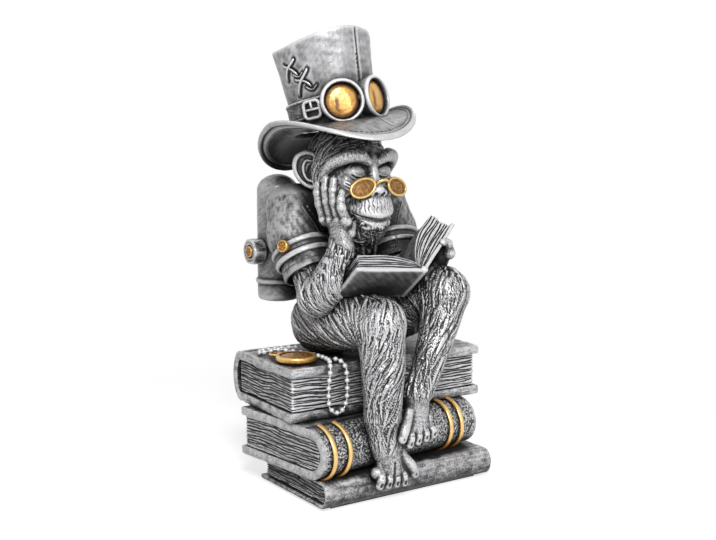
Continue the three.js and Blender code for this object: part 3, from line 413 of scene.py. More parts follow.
def closed_part(part):
    """The form with each of its open edge loops closed to its middle."""
    forward = {(a, b) for a, b in part.edges().tolist()}
    after = {a: b for a, b in forward if (b, a) not in forward}
    v, f = [part.v], [part.f]
    count = len(part.v)
    while after:
        start = next(iter(after))
        loop, here = [], start
        while here in after:
            loop.append(here)
            here = after.pop(here)
        ring = np.array(loop)
        middle, none = np.full(len(ring), count), np.full(len(ring), -1)
        v.append(part.v[ring].mean(0)[None])
        f.append(np.stack([np.roll(ring, -1), ring, middle, none], 1))
        count += 1
    return Form(np.vstack(v), np.vstack(f))


def chain(points, radii, squash=None):
    """A smooth limb through points, with a radius at each; squash = (axis, factor) flattens it."""
    rows = np.column_stack([np.asarray(points, float), np.broadcast_to(radii, (len(points),))])
    fine = spline(rows, 4 * (len(points) - 1) + 1) if len(points) > 2 else rows
    p, r = fine[:, :3], fine[:, 3]
    reach = r.max()
    lo, hi = p.min(0) - reach, p.max(0) + reach
    axis, factor = (unit(vec(*squash[0])), squash[1]) if squash else (vec(0, 0, 1), 1.0)

    def stretched(q):
        return q + (factor - 1) * (q @ axis)[..., None] * axis
    s = stretched(p)

    def distance(x, y, z):
        extra = (factor - 1) * (x * axis[0] + y * axis[1] + z * axis[2])
        x, y, z = (c + extra * a for c, a in zip((x, y, z), axis.astype(np.float32)))
        best = None
        for i in range(len(s) - 1):
            a, ab = s[i].astype(np.float32), (s[i + 1] - s[i]).astype(np.float32)
            length = float(ab @ ab) or 1e-6
            dx, dy, dz = x - a[0], y - a[1], z - a[2]
            t = np.clip((dx * ab[0] + dy * ab[1] + dz * ab[2]) / length, 0, 1)
            gap = np.sqrt((dx - t * ab[0]) ** 2 + (dy - t * ab[1]) ** 2 + (dz - t * ab[2]) ** 2)
            gap = gap - (np.float32(r[i]) + t * np.float32(r[i + 1] - r[i]))
            best = gap if best is None else np.minimum(best, gap)
        return best
    return lo, hi, distance


def egg(centre, radii, turn=(0, 0, 0)):
    """An ellipsoid."""
    m = frame_matrix(turn=turn)[:3, :3].astype(np.float32)
    c, r = np.asarray(centre, float), np.asarray(radii, float)
    reach = np.abs(m) @ r

    def distance(x, y, z):
        x, y, z = x - c[0], y - c[1], z - c[2]
        q = [(x * m[0, k] + y * m[1, k] + z * m[2, k]) for k in range(3)]
        k0 = np.sqrt(sum((a / b) ** 2 for a, b in zip(q, r)))
        k1 = np.sqrt(sum((a / b ** 2) ** 2 for a, b in zip(q, r)))
        return k0 * (k0 - 1) / np.maximum(k1, 1e-6)
    return c - reach, c + reach, distance


def plane(point, normal, size=60):
    """The half space behind a plane."""
    c, n = np.asarray(point, float), unit(vec(*normal))

    def distance(x, y, z):
        return (x - c[0]) * n[0] + (y - c[1]) * n[1] + (z - c[2]) * n[2]
    return c - size, c + size, distance


# Sculpting on a form's vertices

def near_line(v, line):
    """Distance to a line of points, and how far along it the nearest point is (0..1)."""
    best, along = np.full(len(v), 1e9), np.zeros(len(v))
    for i in range(len(line) - 1):
        a, ab = line[i], line[i + 1] - line[i]
        t = np.clip((v - a) @ ab / max(ab @ ab, 1e-9), 0, 1)
        gap = np.linalg.norm(v - a - t[:, None] * ab, axis=1)
        use = gap < best
        best[use], along[use] = gap[use], (i + t[use]) / (len(line) - 1)
    return best, along


def engrave(form, n, line, width, depth, ends=True, lip=0.0):
    """Presses a groove into the form along a line, with a lip beside it."""
    line = spline(line, 4 * len(line)) if len(line) > 2 else np.asarray(line, float)
    reach = 3 * width
    box = ((form.v > line.min(0) - reach) & (form.v < line.max(0) + reach)).all(1)
    if not box.any():
        return
    where = np.flatnonzero(box)
    gap, along = near_line(form.v[where], line)
    fade = np.clip(np.minimum(along, 1 - along) * 5, 0, 1) if ends else 1.0
    groove = np.exp(-(gap / width) ** 2)
    bank = np.exp(-((gap - 1.7 * width) / width) ** 2)
    form.v[where] += n[where] * (fade * (lip * bank - depth * groove))[:, None]


class Fur:
    """Overlapping pointed locks combed over a form, each with its own strands."""

    def __init__(self, form, n, flow, mask, seed, length, width, height, spacing,
                 curl=0.25, pitch=1.15, groove=0.4, jitter=0.1):
        rng = generator(seed)
        self.height, self.groove = height, groove
        candidates = np.flatnonzero(mask > 0.05)
        rng.shuffle(candidates)
        taken, roots = set(), []
        cell = np.floor(form.v / spacing).astype(int)
        for i in candidates:
            key = tuple(cell[i])
            if key in taken:
                continue
            taken.add(key)
            roots.append(i)
        roots = np.array(roots)
        count = len(roots)
        self.root, self.up = form.v[roots], n[roots]
        ahead = flow(self.root)
        ahead = ahead - np.einsum("ij,ij->i", ahead, self.up)[:, None] * self.up
        side = np.cross(unit(ahead), self.up)
        turn = (0.25 * wobble(self.root, 9, 7) + rng.normal(0, jitter, count))[:, None]
        self.ahead = unit(unit(ahead) * np.cos(turn) + side * np.sin(turn))
        self.side = np.cross(self.ahead, self.up)
        amount = mask[roots]
        self.length = rng.uniform(*length, count) * (0.45 + 0.55 * amount)
        self.width = rng.uniform(*width, count) * (0.6 + 0.4 * amount)
        self.tall = rng.uniform(0.55, 1.15, count) * height
        # A lock bends with the flow between its root and its tip
        tip_flow = flow(self.root + self.ahead * self.length[:, None])
        swing = np.arctan2(np.einsum("ij,ij->i", tip_flow, self.side),
                           np.einsum("ij,ij->i", tip_flow, self.ahead))
        bend = 0.5 * np.clip(swing, -0.9, 0.9) + rng.normal(0, curl, count) * 0.4
        self.bend = bend * self.length
        self.strands = np.maximum(np.round(2 * self.width / pitch), 2)
        self.phase = rng.uniform(0, 6.3, count)
        self.tone = rng.uniform(-1, 1, count)

    def lift(self, v, n):
        """How far the fur stands off each point, and the tone of the lock on top."""
        lift, tone = np.zeros(len(v)), np.zeros(len(v))
        size = 3.0
        lo = v.min(0) - size
        cell = ((v - lo) / size).astype(int)
        span = cell.max(0) + 2
        code = (cell[:, 0] * span[1] + cell[:, 1]) * span[2] + cell[:, 2]
        order = np.argsort(code, kind="stable")
        ordered = code[order]
        for i in range(len(self.root)):
            middle = self.root[i] + 0.5 * self.length[i] * self.ahead[i]
            reach = 0.5 * self.length[i] + 0.8
            a = np.maximum(((middle - reach - lo) / size).astype(int), 0)
            b = np.minimum(((middle + reach - lo) / size).astype(int), span - 1)
            runs = []
            for x in range(a[0], b[0] + 1):
                for y in range(a[1], b[1] + 1):
                    base = (x * span[1] + y) * span[2]
                    s, e = np.searchsorted(ordered, (base + a[2], base + b[2] + 1))
                    if e > s:
                        runs.append(order[s:e])
            if not runs:
                continue
            w = np.concatenate(runs)
            d = v[w] - self.root[i]
            s = d @ self.ahead[i] / self.length[i]
            t = d @ self.side[i] - self.bend[i] * s * s
            half = self.width[i] * np.minimum(0.45 + 2.2 * s, 1) * np.clip(1 - s, 0, 1) ** 0.55
            t = t / np.maximum(half, 1e-3)
            ok = (s > 0) & (s < 1) & (np.abs(t) < 1) & (n[w] @ self.up[i] > 0.2)
            w, s, t = w[ok], s[ok], t[ok]
            ridge = (1 - t * t) ** 0.5
            h = self.tall[i] * smooth_step(0, 0.3, s) * (0.8 + 0.2 * s) * ridge
            strand = 0.5 - 0.5 * np.cos(math.pi * self.strands[i] * (t + 1) + self.phase[i])
            h -= self.groove * strand * ridge
            above = h > lift[w]
            lift[w[above]] = h[above]
            tone[w[above]] = self.tone[i]
        return lift, tone


def combed(v, n, *furs):
    """The lift and tone of several furs together, the highest lock on top."""
    lift, tone = furs[0].lift(v, n)
    for fur in furs[1:]:
        other, other_tone = fur.lift(v, n)
        tone = np.where(other > lift, other_tone, tone)
        lift = np.maximum(lift, other)
    return lift, tone


# Materials

def node(tree, kind, **values):
    made = tree.nodes.new(kind)
    for key, value in values.items():
        if key.startswith("_"):
            setattr(made, key[1:], value)
        else:
            made.inputs[key.replace("_", " ")].default_value = value
    return made


def maths(tree, operation, a, b=None, c=None, clamp=False):
    made = tree.nodes.new("ShaderNodeMath")
    made.operation = operation
    made.use_clamp = clamp
    for i, value in enumerate((a, b, c)):
        if value is None:
            continue
        if isinstance(value, (int, float)):
            made.inputs[i].default_value = value
        else:
            tree.links.new(value, made.inputs[i])
    return made.outputs[0]


def ramp(tree, factor, stops):
    made = tree.nodes.new("ShaderNodeValToRGB")
    made.color_ramp.elements[0].position = stops[0][0]
    made.color_ramp.elements[0].color = (*stops[0][1], 1)
    made.color_ramp.elements[1].position = stops[-1][0]
    made.color_ramp.elements[1].color = (*stops[-1][1], 1)
    for place, colour in stops[1:-1]:
        made.color_ramp.elements.new(place).color = (*colour, 1)
    tree.links.new(factor, made.inputs[0])
    return made.outputs[0]


def grey(value):
    """A grey with a trace of blue."""
    return (value, value, value * 1.02)


def noise(tree, place, scale, detail=3.0):
    made = node(tree, "ShaderNodeTexNoise", Scale=scale, Detail=detail, Roughness=0.55)
    tree.links.new(place, made.inputs["Vector"])
    return made.outputs["Fac"]


def paint(name, stops, metallic=0.18, roughness=0.4, wash=1.0, mottle=0.25, mottle_scale=350,
          grain=0.04, shade=0.5, pebble=0.0, streak=None, base=0.53):
    """Metallic paint over a dark wash, with painted shade from ambient occlusion: the stops run from the
    hollows to the worn ridges.
    """
    material = bpy.data.materials.new(name)
    material.use_nodes = True
    tree = material.node_tree
    tree.nodes.clear()
    out = tree.nodes.new("ShaderNodeOutputMaterial")
    shader = tree.nodes.new("ShaderNodeBsdfPrincipled")
    tree.links.new(shader.outputs[0], out.inputs[0])
    place = tree.nodes.new("ShaderNodeTexCoord").outputs["Object"]
    relief = node(tree, "ShaderNodeAttribute", _attribute_name="relief").outputs["Fac"]
    cloud = noise(tree, place, mottle_scale)
    fine = noise(tree, place, 1500, 2.0)
    occlusion = node(tree, "ShaderNodeAmbientOcclusion", Distance=0.006, _samples=6)
    level = maths(tree, "MULTIPLY_ADD", relief, 0.42 * wash, base)
    clouds = [cloud, fine]
    if streak:
        stretched = node(tree, "ShaderNodeMapping", Scale=streak)
        tree.links.new(place, stretched.inputs["Vector"])
        clouds.append(noise(tree, stretched.outputs[0], 1.0, 2.0))
    for one in clouds:
        level = maths(tree, "ADD", level, maths(tree, "MULTIPLY_ADD", one, mottle, -mottle / 2))
    height = maths(tree, "MULTIPLY", fine, grain * 0.001)
    height = maths(tree, "ADD", height, maths(tree, "MULTIPLY", cloud, grain * 0.003))
    if pebble:
        cells = node(tree, "ShaderNodeTexVoronoi", Scale=1000 / pebble, _feature="SMOOTH_F1")
        tree.links.new(place, cells.inputs["Vector"])
        onto = node(tree, "ShaderNodeAttribute", _attribute_name="pebble").outputs["Fac"]
        lump = maths(tree, "MULTIPLY_ADD", cells.outputs["Distance"], -1.7, 0.56)
        lump = maths(tree, "MULTIPLY", lump, onto)
        level = maths(tree, "ADD", level, lump)
        height = maths(tree, "MULTIPLY_ADD", lump, 0.00035, height)
    # Painted shade from ambient occlusion: darker in the narrow hollows, where it adds to the dark wash,
    # and in the wide ones between the limbs
    wide = node(tree, "ShaderNodeAmbientOcclusion", Distance=0.028, _samples=6)
    for hollow, amount in ((occlusion, 0.7 * shade), (wide, 0.8 * shade)):
        darker = maths(tree, "SUBTRACT", level, amount)
        level = maths(tree, "MULTIPLY_ADD", hollow.outputs["AO"], amount, darker)
    tree.links.new(ramp(tree, level, stops), shader.inputs["Base Color"])
    rough = maths(tree, "MULTIPLY_ADD", level, -0.3, roughness + 0.15, clamp=True)
    tree.links.new(rough, shader.inputs["Roughness"])
    metal = maths(tree, "MULTIPLY", maths(tree, "SMOOTH_MIN", level, 1.0, 0.1), metallic, clamp=True)
    tree.links.new(metal, shader.inputs["Metallic"])
    bump = node(tree, "ShaderNodeBump", Strength=1.0, Distance=1.0)
    tree.links.new(height, bump.inputs["Height"])
    tree.links.new(bump.outputs[0], shader.inputs["Normal"])
    return material


SILVER = [(0.0, grey(0.004)), (0.28, grey(0.014)), (0.45, grey(0.10)), (0.62, grey(0.30)),
          (0.9, grey(0.75))]
WORN = [(0.0, grey(0.006)), (0.28, grey(0.03)), (0.44, grey(0.15)), (0.62, grey(0.34)),
        (0.9, grey(0.72))]
BRIGHT = [(0.0, grey(0.01)), (0.25, grey(0.05)), (0.42, grey(0.3)), (0.6, grey(0.55)),
          (0.85, grey(0.85))]
GOLD = [(0.0, (0.02, 0.008, 0.002)), (0.25, (0.11, 0.04, 0.006)), (0.45, (0.40, 0.19, 0.036)),
        (0.62, (0.68, 0.37, 0.09)), (0.88, (0.95, 0.66, 0.27))]
OLD_GOLD = [(0.0, (0.012, 0.005, 0.002)), (0.3, (0.06, 0.024, 0.005)), (0.5, (0.22, 0.10, 0.022)),
            (0.7, (0.50, 0.28, 0.07)), (0.95, (0.85, 0.6, 0.25))]

materials = {
    "fur": paint("silver_fur", SILVER, wash=1.5, mottle=0.12, shade=0.5, base=0.56),
    "skin": paint("silver_skin", SILVER, wash=1.3, mottle=0.14, mottle_scale=500, shade=0.75, base=0.57),
    "cloth": paint("silver_cloth", SILVER, wash=1.2, mottle=0.15, mottle_scale=300, roughness=0.45,
                   grain=0.09, shade=0.7, base=0.55),
    "leather": paint("silver_leather", SILVER, wash=1.1, mottle=0.75, mottle_scale=260, grain=0.1,
                     shade=0.65, streak=(150, 150, 1500), base=0.52),
    "hat": paint("silver_hat", SILVER, metallic=0.45, mottle=0.16, mottle_scale=200, roughness=0.36,
                 grain=0.07, shade=0.7, base=0.6),
    "pages": paint("silver_pages", SILVER, wash=1.5, mottle=0.4, mottle_scale=300,
                   streak=(120, 120, 1400), base=0.55),
    "pebbled": paint("silver_pebbled", SILVER, wash=0.9, mottle=0.6, grain=0.08, shade=0.42,
                     pebble=0.85, base=0.6),
    "bright": paint("bright_silver", BRIGHT, wash=0.8, mottle=0.12, roughness=0.3, grain=0.02,
                    shade=0.6, base=0.6),
    "gold": paint("antique_gold", GOLD, metallic=0.75, wash=0.9, mottle=0.3, mottle_scale=420,
                  roughness=0.35, grain=0.03, base=0.52),
    "lens": paint("gold_lens", GOLD, metallic=0.6, wash=0.9, mottle=0.34, mottle_scale=150,
                  roughness=0.3, grain=0.02, streak=(170, 170, 45), base=0.6),
    "bead": paint("bead_metal", BRIGHT, metallic=0.3, wash=0.9, mottle=0.04, roughness=0.3,
                  grain=0.0, shade=0.1, base=0.6),
    "bright_leather": paint("worn_leather", WORN, wash=1.2, mottle=0.9, mottle_scale=260,
                            grain=0.1, shade=0.65, streak=(50, 500, 500), base=0.56),
    "strap": paint("worn_strap", WORN, wash=1.3, roughness=0.36, grain=0.07, shade=0.7, base=0.48),
    "tank": paint("silver_tank", SILVER, metallic=0.35, wash=0.8, mottle=0.1, mottle_scale=150,
                  roughness=0.36, grain=0.03, shade=0.45, base=0.56),
    "old_gold": paint("worn_gold", OLD_GOLD, metallic=0.7, mottle_scale=420, roughness=0.38,
                      grain=0.03),
}


def felt():
    material = bpy.data.materials.new("base_felt")
    material.use_nodes = True
    tree = material.node_tree
    shader = tree.nodes["Principled BSDF"]
    place = tree.nodes.new("ShaderNodeTexCoord").outputs["Object"]
    fibre = noise(tree, place, 2500, 4.0)
    tree.links.new(ramp(tree, fibre, [(0.3, grey(0.015)), (0.7, grey(0.05))]), shader.inputs["Base Color"])
    shader.inputs["Roughness"].default_value = 0.95
    bump = node(tree, "ShaderNodeBump", Strength=0.6, Distance=0.0003)
    tree.links.new(fibre, bump.inputs["Height"])
    tree.links.new(bump.outputs[0], shader.inputs["Normal"])
    return material


materials["felt"] = felt()


def piece(name, form, material, matrix=None, level=SEAT, crisp=None, relief=None, marks=None):
    """Makes the Blender object of a form and says which CAD node it stands for."""
    if matrix is not None:
        form = form.moved(matrix)
    form = Form(form.v + vec(0, 0, level), form.f)
    quad = form.f[:, 3] >= 0
    sizes = np.where(quad, 4, 3)
    loops = form.f[np.arange(4)[None] < sizes[:, None]]
    mesh = bpy.data.meshes.new(name)
    mesh.vertices.add(len(form.v))
    mesh.vertices.foreach_set("co", (form.v * MM).astype(np.float32).ravel())
    mesh.loops.add(len(loops))
    mesh.loops.foreach_set("vertex_index", loops.astype(np.int32))
    mesh.polygons.add(len(sizes))
    starts = np.concatenate([[0], np.cumsum(sizes)[:-1]])
    mesh.polygons.foreach_set("loop_start", starts.astype(np.int32))
    mesh.polygons.foreach_set("use_smooth", np.ones(len(sizes), bool))
    mesh.update(calc_edges=True)
    marks = dict(marks or {}, relief=form.relief() if relief is None else relief)
    for mark, values in marks.items():
        held = mesh.attributes.new(mark, "FLOAT", "POINT")
        held.data.foreach_set("value", values.astype(np.float32))
    if crisp:
        mesh.set_sharp_from_angle(angle=math.radians(crisp))
    mesh.materials.append(materials[material])
    obj = bpy.data.objects.new(name, mesh)
    bpy.context.scene.collection.objects.link(obj)
    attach(obj, "root")
    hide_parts(name)
    return obj


# Camera, floor and light

def seen_directly(tree):
    """1 where the camera, a reflection or a transparent piece shows the background, otherwise 0."""
    rays = tree.nodes.new("ShaderNodeLightPath")
    return maths(tree, "MAXIMUM", rays.outputs["Is Camera Ray"],
                 maths(tree, "MAXIMUM", rays.outputs["Is Glossy Ray"], rays.outputs["Is Transmission Ray"]))


WORLD = 0.12
FLOOR_GLOW = 0.7
# Each lamp's name, its place and width in metres, and its power in watts
LAMPS = [
    ("key", (-0.42, -0.75, 0.66), 0.3, 8.0),
    ("fill", (-0.1, -0.95, 0.3), 0.4, 1.6),
    ("top", (-0.1, 0.1, 1.0), 0.5, 0.8),
    ("rim", (0.6, 0.6, 0.5), 0.4, 0.4),
]


def set_stage():
    data = bpy.data.cameras.new("camera")
    camera = bpy.data.objects.new("camera", data)
    bpy.context.scene.collection.objects.link(camera)
    camera.location = (-0.2976, -0.4210, 0.1706)
    camera.rotation_euler = Euler([math.radians(a) for a in (90 - 7.33, 0, -34.11)])
    bpy.context.scene.view_settings.view_transform = "Standard"
    data.lens, data.sensor_width = 54.57, 36
    data.clip_start = 0.01
    bpy.context.scene.camera = camera

    floor = bpy.data.meshes.new("floor")
    floor.from_pydata([(-3, -3, 0), (3, -3, 0), (3, 3, 0), (-3, 3, 0)], [], [(0, 1, 2, 3)])
    ground = bpy.data.objects.new("floor", floor)
    bpy.context.scene.collection.objects.link(ground)
    material = bpy.data.materials.new("pale_floor")
    material.use_nodes = True
    tree = material.node_tree
    tree.nodes.clear()
    out = tree.nodes.new("ShaderNodeOutputMaterial")
    diffuse = node(tree, "ShaderNodeBsdfDiffuse", Color=(0.6, 0.6, 0.6, 1))
    glow = node(tree, "ShaderNodeEmission", Color=(1, 1, 1, 1))
    tree.links.new(maths(tree, "MULTIPLY", seen_directly(tree), FLOOR_GLOW), glow.inputs["Strength"])
    both = tree.nodes.new("ShaderNodeAddShader")
    tree.links.new(diffuse.outputs[0], both.inputs[0])
    tree.links.new(glow.outputs[0], both.inputs[1])
    # Away from the object the floor turns to the white of the backdrop
    span = node(tree, "ShaderNodeVectorMath", _operation="LENGTH")
    tree.links.new(tree.nodes.new("ShaderNodeTexCoord").outputs["Object"], span.inputs[0])
    fade = node(tree, "ShaderNodeMapRange", From_Min=0.14, From_Max=0.34, _interpolation_type="SMOOTHSTEP")
    tree.links.new(span.outputs["Value"], fade.inputs["Value"])
    white = node(tree, "ShaderNodeEmission", Color=(1, 1, 1, 1), Strength=1.0)
    mix = tree.nodes.new("ShaderNodeMixShader")
    tree.links.new(maths(tree, "MULTIPLY", seen_directly(tree), fade.outputs[0]), mix.inputs[0])
    tree.links.new(both.outputs[0], mix.inputs[1])
    tree.links.new(white.outputs[0], mix.inputs[2])
    tree.links.new(mix.outputs[0], out.inputs[0])
    floor.materials.append(material)

    world = bpy.data.worlds.new("studio")
    bpy.context.scene.world = world
    world.use_nodes = True
    tree = world.node_tree
    tree.nodes.clear()
    out = tree.nodes.new("ShaderNodeOutputWorld")
    sky = node(tree, "ShaderNodeBackground", Color=(1, 1, 1, 1))
    strength = maths(tree, "MULTIPLY_ADD", seen_directly(tree), 1.0 - WORLD, WORLD)
    tree.links.new(strength, sky.inputs["Strength"])
    tree.links.new(sky.outputs[0], out.inputs[0])

    for name, place, size, power in LAMPS:
        data = bpy.data.lights.new(name, "AREA")
        data.shape, data.size, data.energy = "DISK", size, power
        lamp = bpy.data.objects.new(name, data)
        bpy.context.scene.collection.objects.link(lamp)
        lamp.location = place
        aim = Vector((0, 0.01, 0.11)) - Vector(place)
        lamp.rotation_euler = aim.to_track_quat("-Z", "Y").to_euler()


# The stack of books. In a book's own frame X runs along the spine and the spine is at -Y.

BOTTOM = dict(name="bottom_book", length=97, depth=60.4, thick=13, board=2.2, round=5.2, inset=2,
              at=(1.2, 3.8, 1.1), turn=0, lines=7)
MIDDLE = dict(name="middle_book", length=97.1, depth=65.2, thick=23.4, board=4.2, round=11.7, inset=1.4,
              at=(-4.6, 9.4, 14.4), turn=6.23, lines=11)
TOP = dict(name="top_book", length=108.9, depth=59.6, thick=25.2, board=4.6, round=8, inset=1.8,
           at=(1.5, 21.9, 38.1), turn=178.4, lines=12)
BOOKS = (BOTTOM, MIDDLE, TOP)
# Where the four raised bands lie along the middle spine
BANDS = (-42.9, -34.3, 29.9, 37.3)
# The clearance between a piece and what it rests on
FIT = 0.3


def thick_sheet(outer, inner, soft):
    """A closed slab between two grids of points whose four edges are softened."""
    nu, nv = outer.shape[:2]
    o = sheet(outer)
    i = sheet(inner)
    rim = ([(k, 0) for k in range(nu)] + [(nu - 1, k) for k in range(1, nv)]
           + [(k, nv - 1) for k in range(nu - 2, -1, -1)] + [(0, k) for k in range(nv - 2, 0, -1)])
    ids = np.array([a * nv + b for a, b in rim])
    po, pi = outer.reshape(-1, 3)[ids], inner.reshape(-1, 3)[ids]
    inside = [(min(max(a, 1), nu - 2), min(max(b, 1), nv - 2)) for a, b in rim]
    next_in = outer[tuple(np.array(inside).T)]
    out = unit(po - next_in) * soft
    base = len(o.v) + len(i.v)
    rings = [po + (pi - po) * 0.2 + out, po + (pi - po) * 0.8 + out]
    count = len(ids)
    v = np.vstack([o.v, i.v] + rings)
    loops = [ids, base + np.arange(count), base + count + np.arange(count), len(o.v) + ids]
    f = [o.f, i.f[:, ::-1] + len(o.v)]
    for a, b in zip(loops[:-1], loops[1:]):
        f.append(np.stack([a, b, np.roll(b, -1), np.roll(a, -1)], 1))
    return facing_out(Form(v, np.vstack(f)))


def case_path(book, inset, count=26):
    """Points of the case's outline, from the lower fore edge round the spine to the upper one."""
    low, high, middle = inset, book["thick"] - inset, book["thick"] / 2
    front = -book["depth"] / 2 + book["round"]
    reach = max(book["round"] - inset, 0.5)
    a = np.linspace(-math.pi / 2, -3 * math.pi / 2, count)
    bend = np.stack([front + reach * np.cos(a), middle + (high - low) / 2 * np.sin(a)], 1)
    flat = np.linspace(book["depth"] / 2, front, 34)[:-1]
    under = np.stack([flat, np.full_like(flat, low)], 1)
    over = np.stack([flat[::-1], np.full_like(flat, high)], 1)
    return np.vstack([under, bend, over])


def book_matrix(book):
    return frame_matrix(book["at"], (0, 0, book["turn"]))


def cover(book, seed):
    soft = 0.45
    half = book["length"] / 2 - soft
    x = np.concatenate([[-half], np.linspace(-half + 0.8, half - 0.8, 84), [half]])
    grids = []
    for inset in (0, book["board"]):
        path = case_path(book, inset)
        grid = np.empty((len(path), len(x), 3))
        grid[..., 0] = x
        grid[..., 1:] = path[:, None]
        grid[0, :, 1] -= soft
        grid[-1, :, 1] -= soft
        grids.append(grid)
    form = thick_sheet(grids[0], grids[1], soft)
    n = form.normals()
    dents = 0.12 + 0.12 * wobble(form.v, 9, seed)
    dents = dents + 0.1 * np.abs(wobble(form.v, 3.2, seed + 5))
    form.v -= n * dents[:, None]
    if book is not BOTTOM:
        # The joint beside the spine, pressed in along both boards
        for z in (0, book["thick"]):
            y = -book["depth"] / 2 + book["round"] + 2.5
            engrave(form, n, [(-half, y, z), (half, y, z)], 1.3, 0.45, ends=False)
    return form


def page_block(book, seed):
    """The block's outline carried up its height, pressed in along the wavy gaps between leaves."""
    rng = generator(book["name"])
    board = book["board"] + FIT
    height = book["thick"] - 2 * board
    z = np.linspace(0, height, int(height / 0.27) + 1)
    x1, y0 = book["length"] / 2 - book["inset"], -book["depth"] / 2 + book["board"] + 1.6
    y1 = book["depth"] / 2 - book["inset"]
    corner, step = 0.7, 0.75
    outline = [(x1, y0, 0), (x1, y1 - corner, 0), (x1 - corner, y1, 0), (-x1 + corner, y1, 0),
               (-x1, y1 - corner, 0), (-x1, y0, 0), (x1, y0, 0)]
    line = even(np.array(outline, float), step)[:-1]
    ahead = unit(np.roll(line, -1, 0) - np.roll(line, 1, 0))
    out = np.stack([ahead[:, 1], -ahead[:, 0], 0 * ahead[:, 0]], 1)
    if (out * (line - line.mean(0))).sum() < 0:
        out = -out
    s = np.arange(len(line)) * step
    depth = np.zeros((len(line), len(z)))
    wave = 0.55 * np.sin(s / 9.0 + seed) + 0.35 * np.sin(s / 4.1 + 2 * seed)
    count = book["lines"]
    for k in range(count):
        level = height * (k + 0.5) / count + rng.uniform(-0.25, 0.25)
        own = 0.3 * np.sin(s / rng.uniform(5, 14) + rng.uniform(0, 6))
        own = own + 0.18 * np.sin(s / 2.3 + rng.uniform(0, 6))
        at = level + 0.6 * wave + own
        size = rng.uniform(0.55, 0.95) * (0.75 + 0.25 * np.sin(s / 7 + rng.uniform(0, 6)))
        width = rng.uniform(0.26, 0.4)
        gap = size[:, None] * np.exp(-((z[None] - at[:, None]) / width) ** 2)
        depth = np.maximum(depth, gap)
    hair = np.sin(z[None] * 9.5 + 2.5 * wave[:, None] + 1.5 * np.sin(s / 3.3)[:, None])
    depth += 0.07 * hair + 0.18 * (2 * z[None] / height - 1) ** 4
    grid = line[:, None] + (-depth)[..., None] * out[:, None]
    grid[..., 2] = board + z
    # The rounded back of the block follows the spine
    middle, reach = book["thick"] / 2, book["round"] - board
    high = middle - board
    front = -book["depth"] / 2 + book["round"]
    back = front - reach * np.sqrt(np.clip(1 - ((grid[..., 2] - middle) / high) ** 2, 0, 1))
    grid[..., 1] = np.maximum(grid[..., 1], back)
    return solid(np.swapaxes(grid, 0, 1))


def spine_band(book, place):
    out = FIT + 0.55
    front = -book["depth"] / 2 + book["round"]
    a = np.linspace(-math.pi / 2 - 0.02, -3 * math.pi / 2 + 0.02, 40)
    wave = 0.18 * np.sin(2.3 * a + place)
    path = np.stack([place + wave, front + (book["round"] + out) * np.cos(a),
                     book["thick"] / 2 + (book["thick"] / 2 + out) * np.sin(a)], 1)
    return tube(path, 0.72, 12, flat=1.75, up=(1, 0, 0))


def add_books():
    corners = ((-42.3, -24), (42.3, -24), (42.3, 24), (-42.3, 24))
    pad = solid([[(x, y, z) for x, y in corners] for z in (0, 0.8)])
    pad.v[:, :2] += BOTTOM["at"][:2]
    piece("felt_pad", pad, "felt", level=0, crisp=30)
    for k, (book, kind) in enumerate(zip(BOOKS, ("bright_leather", "pebbled", "leather"))):
        m, name = book_matrix(book), book["name"]
        form = cover(book, 3 * k)
        marks = None
        if book is MIDDLE:
            # Pebbled on the spine only, and plain near its ends
            joint = -book["depth"] / 2 + book["round"]
            onto = smooth_step(joint + 2.5, joint + 1.0, form.v[:, 1])
            marks = {"pebble": onto * smooth_step(47.9, 45.5, np.abs(form.v[:, 0]))}
        tone = form.relief() * 0.6 - (0.05 if k else 0)
        piece(f"{name}_cover", form, kind, matrix=m, level=0, crisp=50,
              relief=tone, marks=marks)
        form = page_block(book, k + 1.0)
        n = form.normals() @ m[:3, :3].T
        # Painted light and shade: the page block is lighter on the faces that look to the front and darker
        # on those that look to the left
        tone = form.relief() + 0.22 * np.clip(-n[:, 1], 0, 1) - 0.16 * np.clip(-n[:, 0], 0, 1)
        piece(f"{name}_pages", form, "pages", matrix=m, level=0, crisp=60, relief=tone)
    for k, place in enumerate(BANDS):
        piece(f"spine_band_{k + 1}", spine_band(MIDDLE, place), "gold",
              matrix=book_matrix(MIDDLE), level=0)


# Watch and bead chain on the top book, in the seat's frame

def add_watch():
    r, t = 9.6, 3.0
    profile = dense([(0, 0), (r - 1, 0), (r - 0.2, 0.5), (r, 1.1), (r, t - 0.8), (r - 0.3, t - 0.2),
                     (r - 0.8, t), (r - 1.5, t), (r - 2.0, t - 0.55), (r - 2.6, t - 0.5),
                     (4, t - 0.15), (0, t - 0.05)], 0.45)
    body = lathe(profile, 72)
    top = body.v[:, 2] > t - 0.7
    radius = np.hypot(body.v[:, 0], body.v[:, 1])
    body.v[top, 2] += (0.08 * np.cos(2.6 * radius) * (radius < 6))[top]
    body.uneven((0.06, 3, 4))
    # The winding knob with its knurls, and the bow
    side = [(0, -1.4), (1.1, -1.4), (1.35, -1.1), (1.35, 1.1), (1.1, 1.4), (0, 1.4)]
    knob = lathe(dense(side, 0.3), 30)
    knob.v[:, :2] *= (1 + 0.05 * np.cos(10 * np.arctan2(knob.v[:, 1], knob.v[:, 0])))[:, None]
    knob = knob.moved(frame_matrix((0, r + 0.9, t / 2), (90, 0, 0)))
    a = full_turn(36)
    ring = np.stack([2.6 * np.cos(a), r + 2.6 + 1.6 + 2.6 * np.sin(a), np.full(36, t / 2 - 0.2)], 1)
    bow = tube(ring, 0.65, 8, closed=True)
    piece("pocket_watch", joined([body, knob, bow]), "gold",
          matrix=frame_matrix((-42, 8, FIT), (0, 0, 15)))


